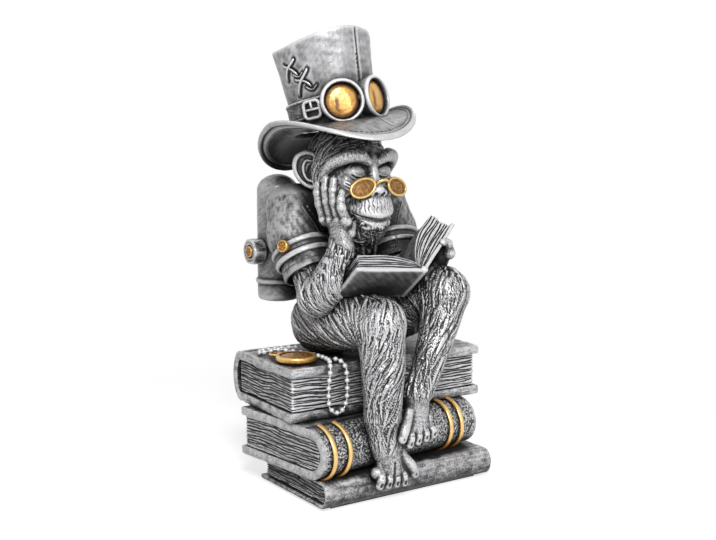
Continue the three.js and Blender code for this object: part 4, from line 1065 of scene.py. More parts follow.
def chain_route():
    """From under the thigh to the watch, down the fore edge to the middle book and up again."""
    r = 2.3 / 2 + FIT
    rest = TOP["at"][2] - SEAT + FIT + 1.1 + r
    edge = -TOP["depth"] / 2 + TOP["at"][1] - 1.2
    low = edge - 2.6
    return [
        (-26.5, 30.5, r), (-29.7, 32, r), (-34.7, 33.8, r), (-40.6, 35.1, r), (-46, 33.5, r),
        (-50, 29.5, r), (-49, 24.8, r + 1), (-44.5, 21.5, r + 2.4), (-38, 18.6, r + 1.2),
        (-32, 14.5, r), (-30.2, 7, r), (-30.5, 0.2, r), (-31.6, -4.5, r),
        (-33.5, edge + 1.3, r - 0.2), (-35, edge - 1.9, -1.5),
        (-36.4, low, -8), (-36.6, low, -16), (-35.2, low, rest + 2), (-32, edge - 3, rest),
        (-28.4, low, rest + 2), (-26.6, low, -16), (-26.4, low, -8), (-26.5, edge - 1.9, -1.5),
        (-26.9, edge + 1.3, r - 0.2), (-28, -2, r),
    ]


def add_chain():
    line = even(spline(chain_route(), 600), 3.6)
    forms = [tube(even(spline(line, 6 * len(line)), 1.2), 0.32, 6)]
    forms += [ball(p, 1.17, 16, 10) for p in line[:-1] + np.diff(line, axis=0) / 2]
    form = joined(forms)
    piece("bead_chain", form, "bead", relief=np.full(len(form.v), 0.55))


# The two tanks on the back

TANK_X, TANK_Y = 27.5, 49
TANK_RADIUS = 10.5


def add_tanks():
    r, length, ring = TANK_RADIUS, 63, 10
    profile = [(0, 0), (r - 2.4, 0), (r - 0.9, 0.5), (r - 0.2, 1.5), (r, 2.6), (r, ring - 1.5),
               (r + 0.5, ring - 1.2), (r + 1, ring - 0.5), (r + 1, ring + 0.5),
               (r + 0.5, ring + 1.2), (r, ring + 1.5)]
    dome = np.linspace(0, math.pi / 2, 16)
    start = length - r * 0.8
    profile += list(zip(r * np.cos(dome), start + (length - start) * np.sin(dome)))
    for side, name in SIDES:
        body = lathe(dense(profile, 0.8), 96)
        body.uneven((-0.1, 7, 2 + side), (-0.03, 2.4, 3), plain=-0.12)
        at = frame_matrix((side * TANK_X, TANK_Y, 23))
        piece(f"tank_{name}", body, "tank", matrix=at)
        out = frame_matrix((side * (TANK_X + r + 3.5 - 0.9), TANK_Y, 48), (0, side * 90, 0))
        piece(f"tank_nut_{name}", hex_nut(), "leather", matrix=out, crisp=28)
        piece(f"tank_stud_{name}", stud(4.1), "gold", matrix=out)
    # The plate between them has a raised border; each row is how far back it is and how far in
    rows = [(43.6, 0.4), (44.0, 0), (49.8, 0), (50.3, 0.5), (50.4, 1.2), (50.3, 2.6), (49.5, 3.4),
            (49.3, 4.2), (49.5, 5.2), (49.7, 8), (49.8, 12)]
    grid = []
    for y, inset in rows:
        outline = rounded(33.2 - 2 * inset, 34 - 2 * inset, max(2 - 0.2 * inset, 0.5))
        grid.append([(x, y, z) for x, z in outline])
    plate = solid(grid)
    plate.v[:, 2] += 53
    piece("tank_bracket", plate, "leather", crisp=35)


def rounded(width, height, r, steps=6):
    """Points of a rectangle with rounded corners, about the origin."""
    a = np.linspace(0, math.pi / 2, steps)
    points = []
    for k, (sx, sy) in enumerate(((1, 1), (-1, 1), (-1, -1), (1, -1))):
        turn = a + k * math.pi / 2
        x, y = sx * (width / 2 - r), sy * (height / 2 - r)
        points += list(zip(x + r * np.cos(turn), y + r * np.sin(turn)))
    return points


def hex_nut():
    """A hexagonal nut with chamfered corners and a hole."""
    a = full_turn(96)
    flat = 6.0 / np.cos((a + math.pi / 6) % (math.pi / 3) - math.pi / 6)
    # 1 on the six-sided outside and 0 in the hole, the height and the reach from the axis
    rows = [(0, -3.5, 3.3), (1, -3.5, 5.2), (1, -3.1, 6.1), (1, -2.6, 6.7), (1, 0, 7.2), (1, 2.2, 7.0),
            (1, 2.9, 6.5), (1, 3.4, 5.9), (1, 3.5, 5.2), (1, 3.2, 4.7), (0, 3.2, 3.6), (0, 2.8, 3.3),
            (0, 0, 3.3)]
    grid = []
    for outer, z, reach in rows:
        r = np.minimum(flat, reach) if outer else np.full(96, reach)
        grid.append(np.stack([r * np.cos(a), r * np.sin(a), np.full(96, z)], 1))
    form = hoop(grid)
    form.uneven((0.06, 2.5, 3))
    return form


def stud(height):
    """A domed stud with a raised ring and a small rosette inside it."""
    radius, root = 2.9, 1.6
    profile = dense([(0, -root), (radius, -root), (radius, height - 0.9),
                     (radius - 0.25, height - 0.35), (radius * 0.8, height - 0.15),
                     (radius * 0.7, height - 0.4), (radius * 0.62, height - 0.5),
                     (0, height - 0.25)], 0.22)
    form = lathe(profile, 48)
    angle = np.arctan2(form.v[:, 1], form.v[:, 0])
    r = np.hypot(form.v[:, 0], form.v[:, 1]) / radius
    top = (form.v[:, 2] > height - 0.7) & (r < 0.62)
    leaf = np.cos(5 * angle) * np.sin(np.clip(r / 0.6, 0, 1) * math.pi)
    form.v[top, 2] += 0.22 * leaf[top]
    return form


def lattice(xs, ys, zs, shape):
    """A closed block over a lattice of places, each carried to its point by shape(x, y, z)."""
    nx, ny, nz = len(xs), len(ys), len(zs)
    index = np.arange(nx * ny * nz).reshape(nx, ny, nz)
    x, y, z = np.meshgrid(xs, ys, zs, indexing="ij")
    v = shape(x.ravel(), y.ravel(), z.ravel())
    f = []
    for axis in range(3):
        for end, flip in ((0, True), (-1, False)):
            face = np.take(index, end, axis)
            quad = np.stack([face[:-1, :-1], face[1:, :-1], face[1:, 1:], face[:-1, 1:]], -1)
            quad = quad.reshape(-1, 4)
            f.append(quad[:, ::-1] if flip != (axis == 1) else quad)
    return facing_out(kept(Form(v, np.vstack(f)), slice(None)))


def stitches(path, normal, step, length, radius):
    """Short threads laid along a line on a surface, each a little raised in its middle."""
    line = even(path, 0.2)
    ahead = np.linalg.norm(np.diff(line, axis=0), axis=1)
    s = np.concatenate([[0], np.cumsum(ahead)])
    lift = 0.1 * np.sin(np.linspace(0, math.pi, 5))[:, None]
    forms = []
    for start in np.arange(step / 2, s[-1] - length, step):
        t = np.linspace(start, start + length, 5)
        p = np.stack([np.interp(t, s, line[:, k]) for k in range(3)], 1)
        forms.append(tube(p + normal(p) * lift, radius, 5))
    return joined(forms)


# Hat. In its own frame Z is the crown's axis and the origin is the middle of the crown's foot.

CROWN = dict(base=20.0, top=23.5, height=39.5, saddle=1.9)
HAT = frame_matrix((-16.5, 12, 110.2), (-10.5, -6.5, 0))


def crown_radius(z):
    t = np.maximum(z, 0) / CROWN["height"]
    return CROWN["base"] + (CROWN["top"] - CROWN["base"]) * t ** 1.4


def crown_point(azimuth, z, off=0.0):
    """A point on the crown's side; the azimuth is measured from the front."""
    a = np.radians(azimuth)
    r = crown_radius(z) + off
    x, y = r * np.sin(a), -r * np.cos(a)
    lift = np.maximum(np.asarray(z) / CROWN["height"], 0) * CROWN["saddle"]
    return np.stack([x, y, z - lift * np.cos(2 * np.arctan2(y, x))], -1)


def crown_bend(grid):
    """Lifts the crown's front and back and lowers its sides, as a saddle."""
    x, y, z = grid[..., 0], grid[..., 1], grid[..., 2]
    lift = np.maximum(z / CROWN["height"], 0) * CROWN["saddle"]
    share = np.minimum(np.hypot(x, y) / CROWN["top"], 1)
    grid[..., 2] = z - lift * np.cos(2 * np.arctan2(y, x)) * share
    return grid


def hat_crown():
    h = CROWN["height"]
    profile = [(0, 0), (crown_radius(0), 0)]
    profile += [(crown_radius(z), z) for z in np.linspace(1, h - 1.2, 14)]
    r = crown_radius(h)
    profile += [(r - 0.1, h - 0.7), (r - 0.5, h - 0.2), (r - 1.2, h), (r - 2.2, h - 0.2),
                (r - 3.0, h - 0.8), (r - 4, h - 1.2), (8, h - 1.9), (0, h - 1.6)]
    form = solid(crown_bend(turned(dense(profile, 0.75), 180)))
    n = form.normals()
    form.uneven((-0.2, 13, 8), (-0.03, 2.2, 9), plain=-0.1, n=n)
    # The seams at the front and back, a fine groove between two low banks
    z = np.linspace(1, h - 0.5, 30)
    for azimuth in (9, 189):
        gap = near_line(form.v, crown_point(azimuth + z * 0.1, z))[0]
        bank, groove = np.exp(-((gap - 0.9) / 0.7) ** 2), np.exp(-(gap / 0.5) ** 2)
        form.v += n * (0.12 * bank - 0.45 * groove)[:, None]
    # Needle holes beside the seams
    for azimuth in (7.6, 187.4):
        for z in np.arange(2, h - 12, 1.9):
            hole = crown_point(azimuth + z * 0.1, z)
            gap = np.linalg.norm(form.v - hole, axis=1)
            form.v -= n * (0.55 * np.exp(-(gap / 0.55) ** 2))[:, None]
    return joined([form] + laces(form, n))


def laces(crown, n):
    """Two crossed pairs of laces with a loose end each, pressed into the crown's side."""
    forms = []
    mean_radius = 21.5
    for azimuth, z, size, turn in ((-79, 28.2, 1.0, 0.1), (-65, 20.6, 1.05, 0.35)):
        paths = []
        for side in (-1, 1):
            t = np.linspace(-1, 1, 14)
            across = 3.2 * size * t * side + 0.7 * np.sin(2.6 * t) * side
            up = 3.9 * size * t + turn * across + 0.5 * np.cos(2.5 * t)
            lift = 0.1 + 0.6 * (1 - t ** 4)
            lift = lift + (0.45 if side > 0 else 0.0) * np.exp(-(t / 0.35) ** 2)
            line = crown_point(azimuth + np.degrees(across / mean_radius), z + up, lift)
            paths.append((line, 0.62 - 0.14 * np.abs(t) ** 3))
        t = np.linspace(0, 1, 12)
        tail = azimuth + np.degrees((1.4 + 5.0 * t) / mean_radius)
        paths.append((crown_point(tail, z - 2.8 - 2.0 * np.sin(2.8 * t), 0.3), 0.5 - 0.18 * t))
        for line, radius in paths:
            gap = near_line(crown.v, line)[0]
            crown.v -= n * (0.35 * smooth_step(1.7, 0.8, gap))[:, None]
            forms.append(tube(line, radius, 9, flat=0.75))
    return forms


BRIM = dict(inner=20.3, half_width=36.0, half_depth=40.0, rise=4.5, dip=14.0)


def brim_point(angle, share, height):
    """A point of the brim, at a share of the way from the crown (0) to the edge (1)."""
    sine, cosine = np.sin(angle), np.cos(angle)
    inner, reach = BRIM["inner"], np.clip(share, 0, 2)
    x = cosine * (inner + (BRIM["half_width"] - inner) * share)
    y = sine * (inner + (BRIM["half_depth"] - inner) * share)
    lift = reach ** 1.5 * (BRIM["rise"] * cosine ** 2 - BRIM["dip"] * sine ** 2)
    # The corner behind the right ear is drawn out and hangs lower
    corner = np.maximum(sine, 0) * np.maximum(-cosine, 0) * 2 * reach
    return np.stack([x - 1.6 * corner, y + 1.2 * corner, lift + height - 3.2 * corner], -1)


def brim_width(angle):
    return np.hypot(np.cos(angle) * (BRIM["half_width"] - BRIM["inner"]),
                    np.sin(angle) * (BRIM["half_depth"] - BRIM["inner"]))


def hat_brim():
    """The brim with its rolled edge and threads, and the relief that its paint follows, with painted shade
    on the faces that look down and on those that look straight up.
    """
    a = full_turn(260)
    width = brim_width(a)
    turn = np.radians(np.linspace(160, -150, 13))
    # Rows of (way in from the edge, height, share that is used where the way in is None)
    section = [(None, 0.0, s) for s in np.linspace(0, 0.78, 16)] + [(2.9, 0, 0), (2.6, -0.15, 0)]
    section += [(1.3 - 1.15 * math.cos(t), -0.35 + 1.15 * math.sin(t), 0) for t in turn]
    section += [(2.7, -1.6, 0), (3.4, -2.1, 0)] + [(None, -2.3, s) for s in np.linspace(0.75, 0, 15)]
    rows = []
    for off, height, share in section:
        s = np.full_like(a, share) if off is None else 1 - off / width
        rows.append(brim_point(a, s, height))
    form = hoop(rows)
    n = form.normals()
    form.uneven((-0.08, 8, 21), (-0.05, 2.5, 5), plain=-0.05, n=n)
    # A crease in front, and threads round the edge on both faces
    crease = [brim_point(np.array(-1.35), np.array(s), 0.0) for s in (0.2, 0.5, 0.72)]
    engrave(form, n, crease, 0.5, 0.3, lip=0.12)
    ring = np.linspace(0, 2 * math.pi, 500)
    width = brim_width(ring)
    under = brim_point(ring, 1 - 4.3 / width, -2.36)
    above = brim_point(ring, 1 - 3.9 / width, 0.03)
    down = stitches(under, lambda p: vec(0, 0, -1.0), 2.2, 1.3, 0.25)
    up = stitches(above, lambda p: vec(0, 0, 1.0), 2.4, 1.4, 0.18)
    made = joined([form, down, up])
    up = made.normals()[:, 2]
    # Painted shade: darker on the faces that look down, under the brim and its rolled edge, and on the
    # faces that look straight up
    relief = 0.65 * made.relief() - 0.2 * smooth_step(0.35, -0.15, up)
    return made, relief - 0.3 * smooth_step(0.8, 0.97, up)


def hat_band():
    low, high = 3.0, 12.0
    rows = dense([(0.3, low), (1.15, low), (1.5, low + 0.35), (1.5, low + 1.0), (1.25, low + 1.3),
                  (1.25, high - 1.3), (1.5, high - 1.0), (1.5, high - 0.35), (1.15, high),
                  (0.3, high)], 0.55)
    form = hoop(turned([(crown_radius(z) + r, z) for r, z in rows], 200))
    form.uneven((0.07, 6, 2), (0.04, 2, 7))
    return form


def on_crown(azimuth, height, off, upright=False):
    """Where a piece stands on the crown: upright keeps Z up, otherwise Z points out."""
    a = math.radians(azimuth)
    r = crown_radius(height) + off
    at = (r * math.sin(a), -r * math.cos(a), height)
    return frame_matrix(at, (0 if upright else 90, 0, azimuth))


def add_hat():
    piece("hat_crown", hat_crown(), "hat", matrix=HAT, crisp=60)
    brim, relief = hat_brim()
    piece("hat_brim", brim, "hat", matrix=HAT, relief=relief)
    piece("hat_band", hat_band(), "leather", matrix=HAT, crisp=60)
    # The buckle: its frame, the bar across it and the tongue
    outline = [(x, -0.4, z) for x, z in rounded(8.0, 7.9, 2.0)] + [(4.0, -0.4, 1.95)]
    tongue = spline([(0.3, -0.9, 0.2), (0.4, -1.5, 1.2), (0.3, -1.6, 2.6), (0.2, -1.3, 3.8)], 14)
    buckle = [tube(even(np.array(outline), 0.4)[:-1], 0.82, 10, closed=True),
              tube([(-3.4, -0.5, 0), (0, -0.9, 0.1), (3.4, -0.5, 0)], 0.62, 8),
              tube(tongue, 0.55, 8)]
    at = HAT @ on_crown(-58, 6.5, 2.0, True)
    piece("hat_buckle", joined(buckle), "bright", matrix=at)
    # The goggles
    rim = dense([(8.3, -4), (9.6, -4), (10.1, 0), (10.2, 1.9), (10.0, 2.6), (9.4, 3.2), (8.9, 3.15),
                 (8.55, 2.7), (8.35, 2.0), (8.3, 1), (8.3, -4)], 0.45)
    lens = dense([(0, -4), (8, -4), (8.2, 0.3), (7.6, 1.0), (6, 1.65), (4, 2.05), (0, 2.3)], 0.4)
    for azimuth, name in ((-22, "right"), (25.5, "left")):
        at = HAT @ on_crown(azimuth, 7.5, 1.8)
        ring = hoop(turned(rim[:-1], 120))
        ring.uneven((0.06, 3, 6))
        piece(f"goggle_rim_{name}", ring, "bright", matrix=at)
        glass = lathe(lens, 96)
        glass.v[:, 2] += 0.07 * wobble(glass.v, 4.5, 12) * (glass.v[:, 2] > 1)
        # Darker streaks down the glass and round its edge
        x, y = glass.v[:, 0] + 0.5 * wobble(glass.v, 4, 3), glass.v[:, 1]
        tone = 0.3 - 1.1 * np.exp(-((x + 2.6) / 1.1) ** 2) * smooth_step(6, 1, np.abs(y + 1))
        tone -= 0.9 * smooth_step(5.8, 8.2, np.hypot(x, y)) + 0.35 * np.exp(-((x - 4.6) / 1.3) ** 2)
        piece(f"goggle_lens_{name}", glass, "lens", matrix=at, relief=tone)
    line = []
    for azimuth in np.linspace(-4, 7.5, 9):
        a, h = math.radians(azimuth), 8.0 + 0.3 * math.cos(azimuth)
        r = crown_radius(h) + 4.2
        line.append((r * math.sin(a), -r * math.cos(a), h))
    bridge = tube(line, 1.3, 14, flat=1.15)
    # The bridge is painted dark all over: painted shade, as it lies in the shadow under the goggles
    piece("goggle_bridge", bridge, "leather", matrix=HAT,
          relief=np.full(len(bridge.v), -0.35))


# Spectacles, low on the nose

SPECTACLES = frame_matrix((-9.6, -16, 81.6), (-8, 0, 2))


def add_spectacles():
    a = full_turn(56)
    # The lens from its middle to its edge and back, as shares of its reach and places along Y
    rows = dense([(0, 0.55), (0.8, 0.6), (0.95, 0.5), (1.0, 0.1), (0.95, -0.35), (0.8, -0.3),
                  (0.5, -0.45), (0, -0.55)], 0.09)
    frames = []
    for side, name, x, roll in ((-1, "right", -10.3, 18), (1, "left", 9.2, 12)):
        at = frame_matrix((x, 1.3, 0), (0, side * roll, side * 13))
        ring = np.stack([6.2 * np.cos(a), 0 * a, 3.95 * np.sin(a)], 1)
        frames.append(tube(ring, 0.72, 10, closed=True).moved(at))
        grid = np.stack([5.6 * rows[:, :1] * np.cos(a), np.repeat(rows[:, 1:], 56, 1),
                         3.4 * rows[:, :1] * np.sin(a)], -1)
        glass = solid(grid)
        glass.v[:, 1] += 0.06 * wobble(glass.v, 2.2, 3)
        piece(f"spectacles_lens_{name}", glass.moved(at), "old_gold",
              matrix=SPECTACLES)
    bridge = spline([(-4.4, 0.9, 0.6), (-3.4, 0.4, 1.4), (-2.2, -0.9, 2.6), (0, -1.8, 3.1),
                     (2.2, -0.9, 2.6), (3.4, 0.9, 1.1)], 24)
    frames.append(tube(bridge, 0.78, 10))
    piece("spectacles_frame", joined(frames), "old_gold", matrix=SPECTACLES)


# The open book. In its own frame the spine runs along Y, X runs out and Z is off the knees.

OPEN = frame_matrix((4.7, -21.5, 36.2), (-37, 0, -3))
# How many degrees each half is folded up
RISE = {-1: 5, 1: 42}


def half_turn(side):
    """Carries points of one half (out, along, up) to where the fold puts them."""
    rise = math.radians(RISE[side])

    def carry_out(r, y, h):
        return np.stack([side * (r * math.cos(rise) - h * math.sin(rise)), y,
                         r * math.sin(rise) + h * math.cos(rise)], -1)
    return carry_out


def add_open_book():
    parts = []
    for side in (-1, 1):
        out = half_turn(side)
        r = np.concatenate([np.linspace(0, 35, 44), [35.6]])
        y = np.concatenate([[-11.6], np.linspace(-10.9, 10.9, 34), [11.6]])
        rr, yy = np.meshgrid(r, y, indexing="ij")
        faces = [out(rr, yy, np.full_like(rr, h) + 0.12 * np.sin(rr / 5)) for h in (0.05, 1.75)]
        parts.append(thick_sheet(faces[1], faces[0], 0.4))
    parts.append(tube(even(np.array([(0, -11.7, 1.45), (0, 11.7, 1.45)], float), 0.8), 1.7, 20))
    form = joined(parts)
    form.uneven((0.06, 5, 4))
    piece("open_book_cover", form, "cloth", matrix=OPEN, crisp=50)
    for side, name, thick, lines in ((-1, "right", 6.0, 5), (1, "left", 9.0, 7)):
        form = open_pages(side, thick, lines)
        piece(f"open_book_pages_{name}", form, "pages", matrix=OPEN, crisp=60,
              relief=form.relief() + 0.2)


def open_pages(side, thick, lines):
    out = half_turn(side)
    rng = generator(f"pages{side}")
    low, reach = 2.1, 33.8
    xs = np.concatenate([[1.2], np.linspace(1.6, reach, 70)])
    ys = np.linspace(-10.9, 10.9, 56)
    zs = np.linspace(0, 1, 44)

    def shape(r, y, t):
        level = np.zeros_like(t)
        s = r / 9 + y / 7
        for k in range(lines):
            at = (k + 0.6) / (lines + 0.2) + 0.035 * np.sin(1.3 * s + 2 * k) + rng.uniform(-0.02, 0.02)
            level = np.maximum(level, np.exp(-((t - at) * thick / 0.27) ** 2))
        level = 0.7 * level + 0.06 * np.sin(t * thick * 9 + s)
        edge_y = smooth_step(10.1, 10.9, np.abs(y))
        edge_r = smooth_step(reach - 0.9, reach, r)
        fan = (r / reach) ** 2 * (0.5 if side < 0 else 1.3) * np.sin(t * 9 + 0.6) * 0.4
        yy = y - np.sign(y) * level * edge_y
        rr = r - level * edge_r + fan * edge_r - 0.9 * t * (r / reach)
        share = np.clip((r - 1.2) / (reach - 1.2), 0, 1)
        body = (thick - 0.4) * t
        dip = (1 - share) ** 3 * thick * t * 0.6
        bow = 0.25 * thick * t * np.sin(share * math.pi) ** 0.8
        curl = smooth_step(0.8, 1.0, share) * t * (0.5 if side < 0 else 1.1)
        ripple = 0.12 * np.sin(y / 2.2 + r / 6) * t * (t > 0.9)
        h = low + body - dip + bow + curl + ripple
        return out(rr, yy, h)
    return lattice(xs, ys, zs, shape)


# The ape's limbs and clothes, in the seat's frame. side is -1 on its right and 1 on its left.

KNEE = {-1: vec(-13.5, -19, 20), 1: vec(24, -19, 32)}
ANKLE = {-1: vec(-16, -27, 40.8 - SEAT), 1: vec(3, -27.5, 49.8 - SEAT)}
BALL = {-1: vec(-13, -28.5, 15.2 - SEAT), 1: vec(0, -30, 33.3 - SEAT)}
SHOULDER = {-1: vec(-32, 26, 72), 1: vec(19, 27, 72)}
ELBOW = {-1: vec(-34, 2, 31), 1: vec(18, 6, 33)}
WRIST = {-1: vec(-28.5, -11.5, 54.5), 1: vec(25.6, -10.4, 42)}
PALM = {-1: vec(-30, -9, 64.5), 1: vec(24, -17, 48.5)}


def between(a, b, t):
    return a + (b - a) * t


def block(matrix, lo, hi, soft=0.0):
    """A box given by its corners in a frame."""
    inverse = np.linalg.inv(matrix).astype(np.float32)
    centre, half = (vec(*lo) + vec(*hi)) / 2, (vec(*hi) - vec(*lo)) / 2 - soft
    corners = [(a, b, c) for a in (lo[0], hi[0]) for b in (lo[1], hi[1]) for c in (lo[2], hi[2])]
    corners = carry(np.array(corners, float), matrix)

    def distance(x, y, z):
        q = []
        for row, middle, reach in zip(inverse, centre, half):
            q.append(np.abs(row[0] * x + row[1] * y + row[2] * z + row[3] - middle) - reach)
        outside = np.sqrt(sum(np.maximum(a, 0) ** 2 for a in q))
        return outside + np.minimum(np.maximum(np.maximum(q[0], q[1]), q[2]), 0) - soft
    return corners.min(0), corners.max(0), distance


def book_blocks():
    shapes = []
    for book in BOOKS:
        m = frame_matrix((0, 0, -SEAT)) @ book_matrix(book)
        l, d, t = book["length"] / 2, book["depth"] / 2, book["thick"]
        shapes.append(block(m, (-l, -d, 0), (l, d, t), min(book["round"], t / 2) * 0.6))
    return shapes


def open_blocks():
    shapes = []
    for side, top in ((-1, 9), (1, 13)):
        rise = frame_matrix(turn=(0, -side * RISE[side], 0))
        lo, hi = (0, -12, -0.2), (side * 36, 12, top)
        shapes.append(block(OPEN @ rise, tuple(np.minimum(lo, hi)), tuple(np.maximum(lo, hi))))
    return shapes


def toes(clay, ball_at, side):
    """Four toes with joints and nails, and the thumb-like big toe."""
    for i in range(4):
        spread = (i - 1.2) * 4 * side
        root = ball_at + vec(spread * 0.9, -0.5, 0.5)
        tip = root + vec(spread * 0.25, -1.5, -6.6 + i * (0.3 if side < 0 else 0.9))
        middle = between(root, tip, 0.55) + vec(0, -1.2, 0)
        clay.add(chain([root + vec(0, 0.3, 4), root, middle, tip], [1.7, 2.05, 2.2, 1.75]), 0.6)
        clay.add(egg(tip + vec(0, -0.2, -0.3), (1.9, 1.8, 1.9)), 0.5)
        clay.cut(egg(tip + vec(0, -2.3, 0.1), (1.15, 0.75, 1.5), (20, 0, 0)), 0.25)
        clay.cut(chain([middle + vec(-2, -1.9, 1.3), middle + vec(2, -1.9, 1.3)], 0.28), 0.5)
    for i in range(3):
        spread = (i - 0.7) * 4 * side
        high = ball_at + vec(spread * 0.9, -4.2, 4.6)
        low = ball_at + vec(spread * 1.15, -4.4, -5.5)
        clay.cut(chain([high, low], [0.35, 0.6]), 0.8)
    root = ball_at + vec(-side * 6.4, -1, 5)
    tip = root + vec(-side * 4.2, -2.2, -7.5)
    middle = between(root, tip, 0.5) + vec(-side * 0.6, -0.8, 0)
    clay.add(chain([root + vec(side * 2, 1, 3.5), root, middle, tip], [2.4, 2.6, 2.6, 2.1]), 1.2)
    clay.add(egg(tip, (2.3, 2.1, 2.4)), 0.6)
    clay.cut(egg(tip + vec(0, -2.7, 0.1), (1.4, 0.8, 1.7), (20, 0, 0)), 0.25)


# What differs between the two legs: the corners of its field, how far the shin's lower end is
# moved and the shin's radii, how much wider the foot is, the place that the thigh's fur is combed
# to, how the shin's fur leans, the heights between which it turns to hang down, and the height
# where the foot's bare skin ends
LEGS = {
    -1: dict(lo=vec(-40, -42, -62), hi=vec(4, 42, 36), foot=vec(-1, 0, 0), radii=(10.3, 9.4, 7.6),
             wide=1.3, pinch=vec(-19.5, -22, 4), slope=0.75, hang=(10, -2),
             bare=BALL[-1][2] + 6),
    1: dict(lo=vec(-15, -44, -50), hi=vec(44, 42, 46), foot=vec(0, 0, 0), radii=(10.3, 7.7, 5.9),
            wide=0.3, pinch=vec(16, -24, 14), slope=0.9, hang=(26, 12),
            bare=ANKLE[1][2] - 6),
}


def leg(side, name):
    own = LEGS[side]
    clay = Clay(own["lo"], own["hi"], 0.44)
    start, knee, ankle = vec(side * 17, 22, 15), KNEE[side], ANKLE[side]
    mid_thigh = between(start, knee, 0.5) + vec(side * 1.5, 0, 1)
    thigh = chain([start, mid_thigh, knee], [16.0, 14.4, 10.9])
    top = knee + vec(0, -1, -3)
    calf = between(top, ankle, 0.45) + vec(side * 0.5, -1.5, 0)
    shin = chain([top, calf, ankle + own["foot"]], own["radii"])
    ball_at = BALL[side]
    clay.add(thigh).add(shin, 3.5)
    clay.add(egg(knee + vec(0, -3.2, -1), (8.6, 8.6, 9.5)), 3)
    wide = own["wide"]
    instep = between(ankle, ball_at, 0.5) + vec(-wide, 0.6, 0)
    clay.add(chain([ankle + vec(-wide, 1.0, 1), instep, ball_at],
                   [6.0 + wide, 6.2 + wide, 5.2 + 0.5 * wide], squash=((0, 1, 0), 1.35)), 2.5)
    clay.add(chain([ball_at + vec(-6.5 - wide, 0.3, 0), ball_at + vec(6, 0.3, 0)], [3.2, 3.2]), 2)
    for k in (-1, 1):
        clay.add(egg(ankle + vec(5.2 * k, -0.5, -1.5), (2.2, 2.4, 2.8)), 2)
    toes(clay, ball_at, side)
    for shape in open_blocks() + book_blocks():
        clay.cut(shape, 0.8)
    form = clay.skin()
    n = form.normals()

    def flow(p):
        down = smooth_step(*own["hang"], p[:, 2]) * smooth_step(-8, -20, p[:, 1])
        to_pinch = unit(own["pinch"] - p) + vec(0, 0, -0.35)
        fall = smooth_step(ankle[2] + 22, ankle[2] + 2, p[:, 2])
        lean = -own["slope"] * (1 - 0.75 * fall)
        along = np.stack([lean, -0.15 + 0 * fall, -1 + 0 * fall], 1)
        return unit(to_pinch) * (1 - down)[:, None] + unit(along) * down[:, None]
    x, y, z = form.v.T
    mask = smooth_step(own["bare"], own["bare"] + 8, z + 1.2 * wobble(form.v, 6, 2))
    # The fur lies flat where the leg touches a book
    resting = np.zeros(len(z))
    for shape in book_blocks() + open_blocks():
        resting = np.maximum(resting, smooth_step(0.9, 0.2, shape[2](x, y, z)))
    mask = mask * (1 - 0.9 * resting)
    # Long locks first, and shorter ones between them
    fur = Fur(form, n, flow, mask, name + "long", length=(10, 18), width=(1.3, 2.3), height=1.7,
              spacing=2.9, pitch=0.95)
    short = Fur(form, n, flow, mask, name + "short", length=(5, 9), width=(0.9, 1.4), height=1.3,
                spacing=2.6, jitter=0.18)
    lift, tone = combed(form.v, n, fur, short)
    skin = 1 - smooth_step(0, 0.3, mask)
    creases = creased(form.v, 2.6) * skin * (1 - resting)
    form.v += n * ((lift - 0.7) * mask + creases)[:, None]
    # The form is one surface, parted at the knee and above the ankle
    middle = form.v[form.f].mean(1)
    is_foot = (middle[:, 2] < ankle[2] - 1.5) & (middle[:, 1] < -10)
    is_thigh = (thigh[2](*middle.T) < shin[2](*middle.T)) & ~is_foot
    # The paint is darker on the shins and on the left leg, and paler on the bare feet
    low = smooth_step(22, 2, form.v[:, 2])
    shade = 0.3 * tone + lock_tone(lift, 1.7) - 0.16 * low - (0.12 if side > 0 else 0)
    relief = form.relief() + shade * mask
    relief += 0.2 * (1 - mask) * smooth_step(0.3, 0.0, resting)
    parts = (("thigh", is_thigh), ("foot", is_foot), ("shin", ~is_thigh & ~is_foot))
    limb_pieces(form, relief, name, parts)


def limb_pieces(form, relief, name, parts):
    """Makes a piece of each part of a limb: bare skin on the hand and foot, fur on the rest."""
    for kind, faces in parts:
        made = closed_part(main_piece(kept(form, faces)))
        piece(f"{name}_{kind}", made, "skin" if kind in ("hand", "foot") else "fur",
              relief=carried(form.v, relief, made.v))


def lock_tone(lift, height):
    """Dark between the locks and pale on top of them."""
    return np.clip(1.2 * (lift / height - 0.45), -0.45, 0.25)


def creased(v, size):
    """Wrinkled skin: thin winding creases between soft bumps."""
    line = wobble(v, size, 3) + 0.4 * wobble(v, size / 2.3, 11)
    return -0.09 * np.exp(-(line / 0.16) ** 2) + 0.03 * wobble(v, 3.1, 5)


def carried(points, values, targets):
    """The values of the points that the targets coincide with, or the mean where there is none."""
    table = {tuple(p): x for p, x in zip(np.round(points, 4).tolist(), values)}
    mean = float(values.mean())
    return np.array([table.get(tuple(p), mean) for p in np.round(targets, 4).tolist()])


def finger(clay, points, radii, k):
    """A finger with round knuckles."""
    clay.add(chain(points, radii), k)
    for p, r in zip(points[1:-1], radii[1:-1]):
        clay.add(egg(p, (r + 0.15,) * 3), 0.7)


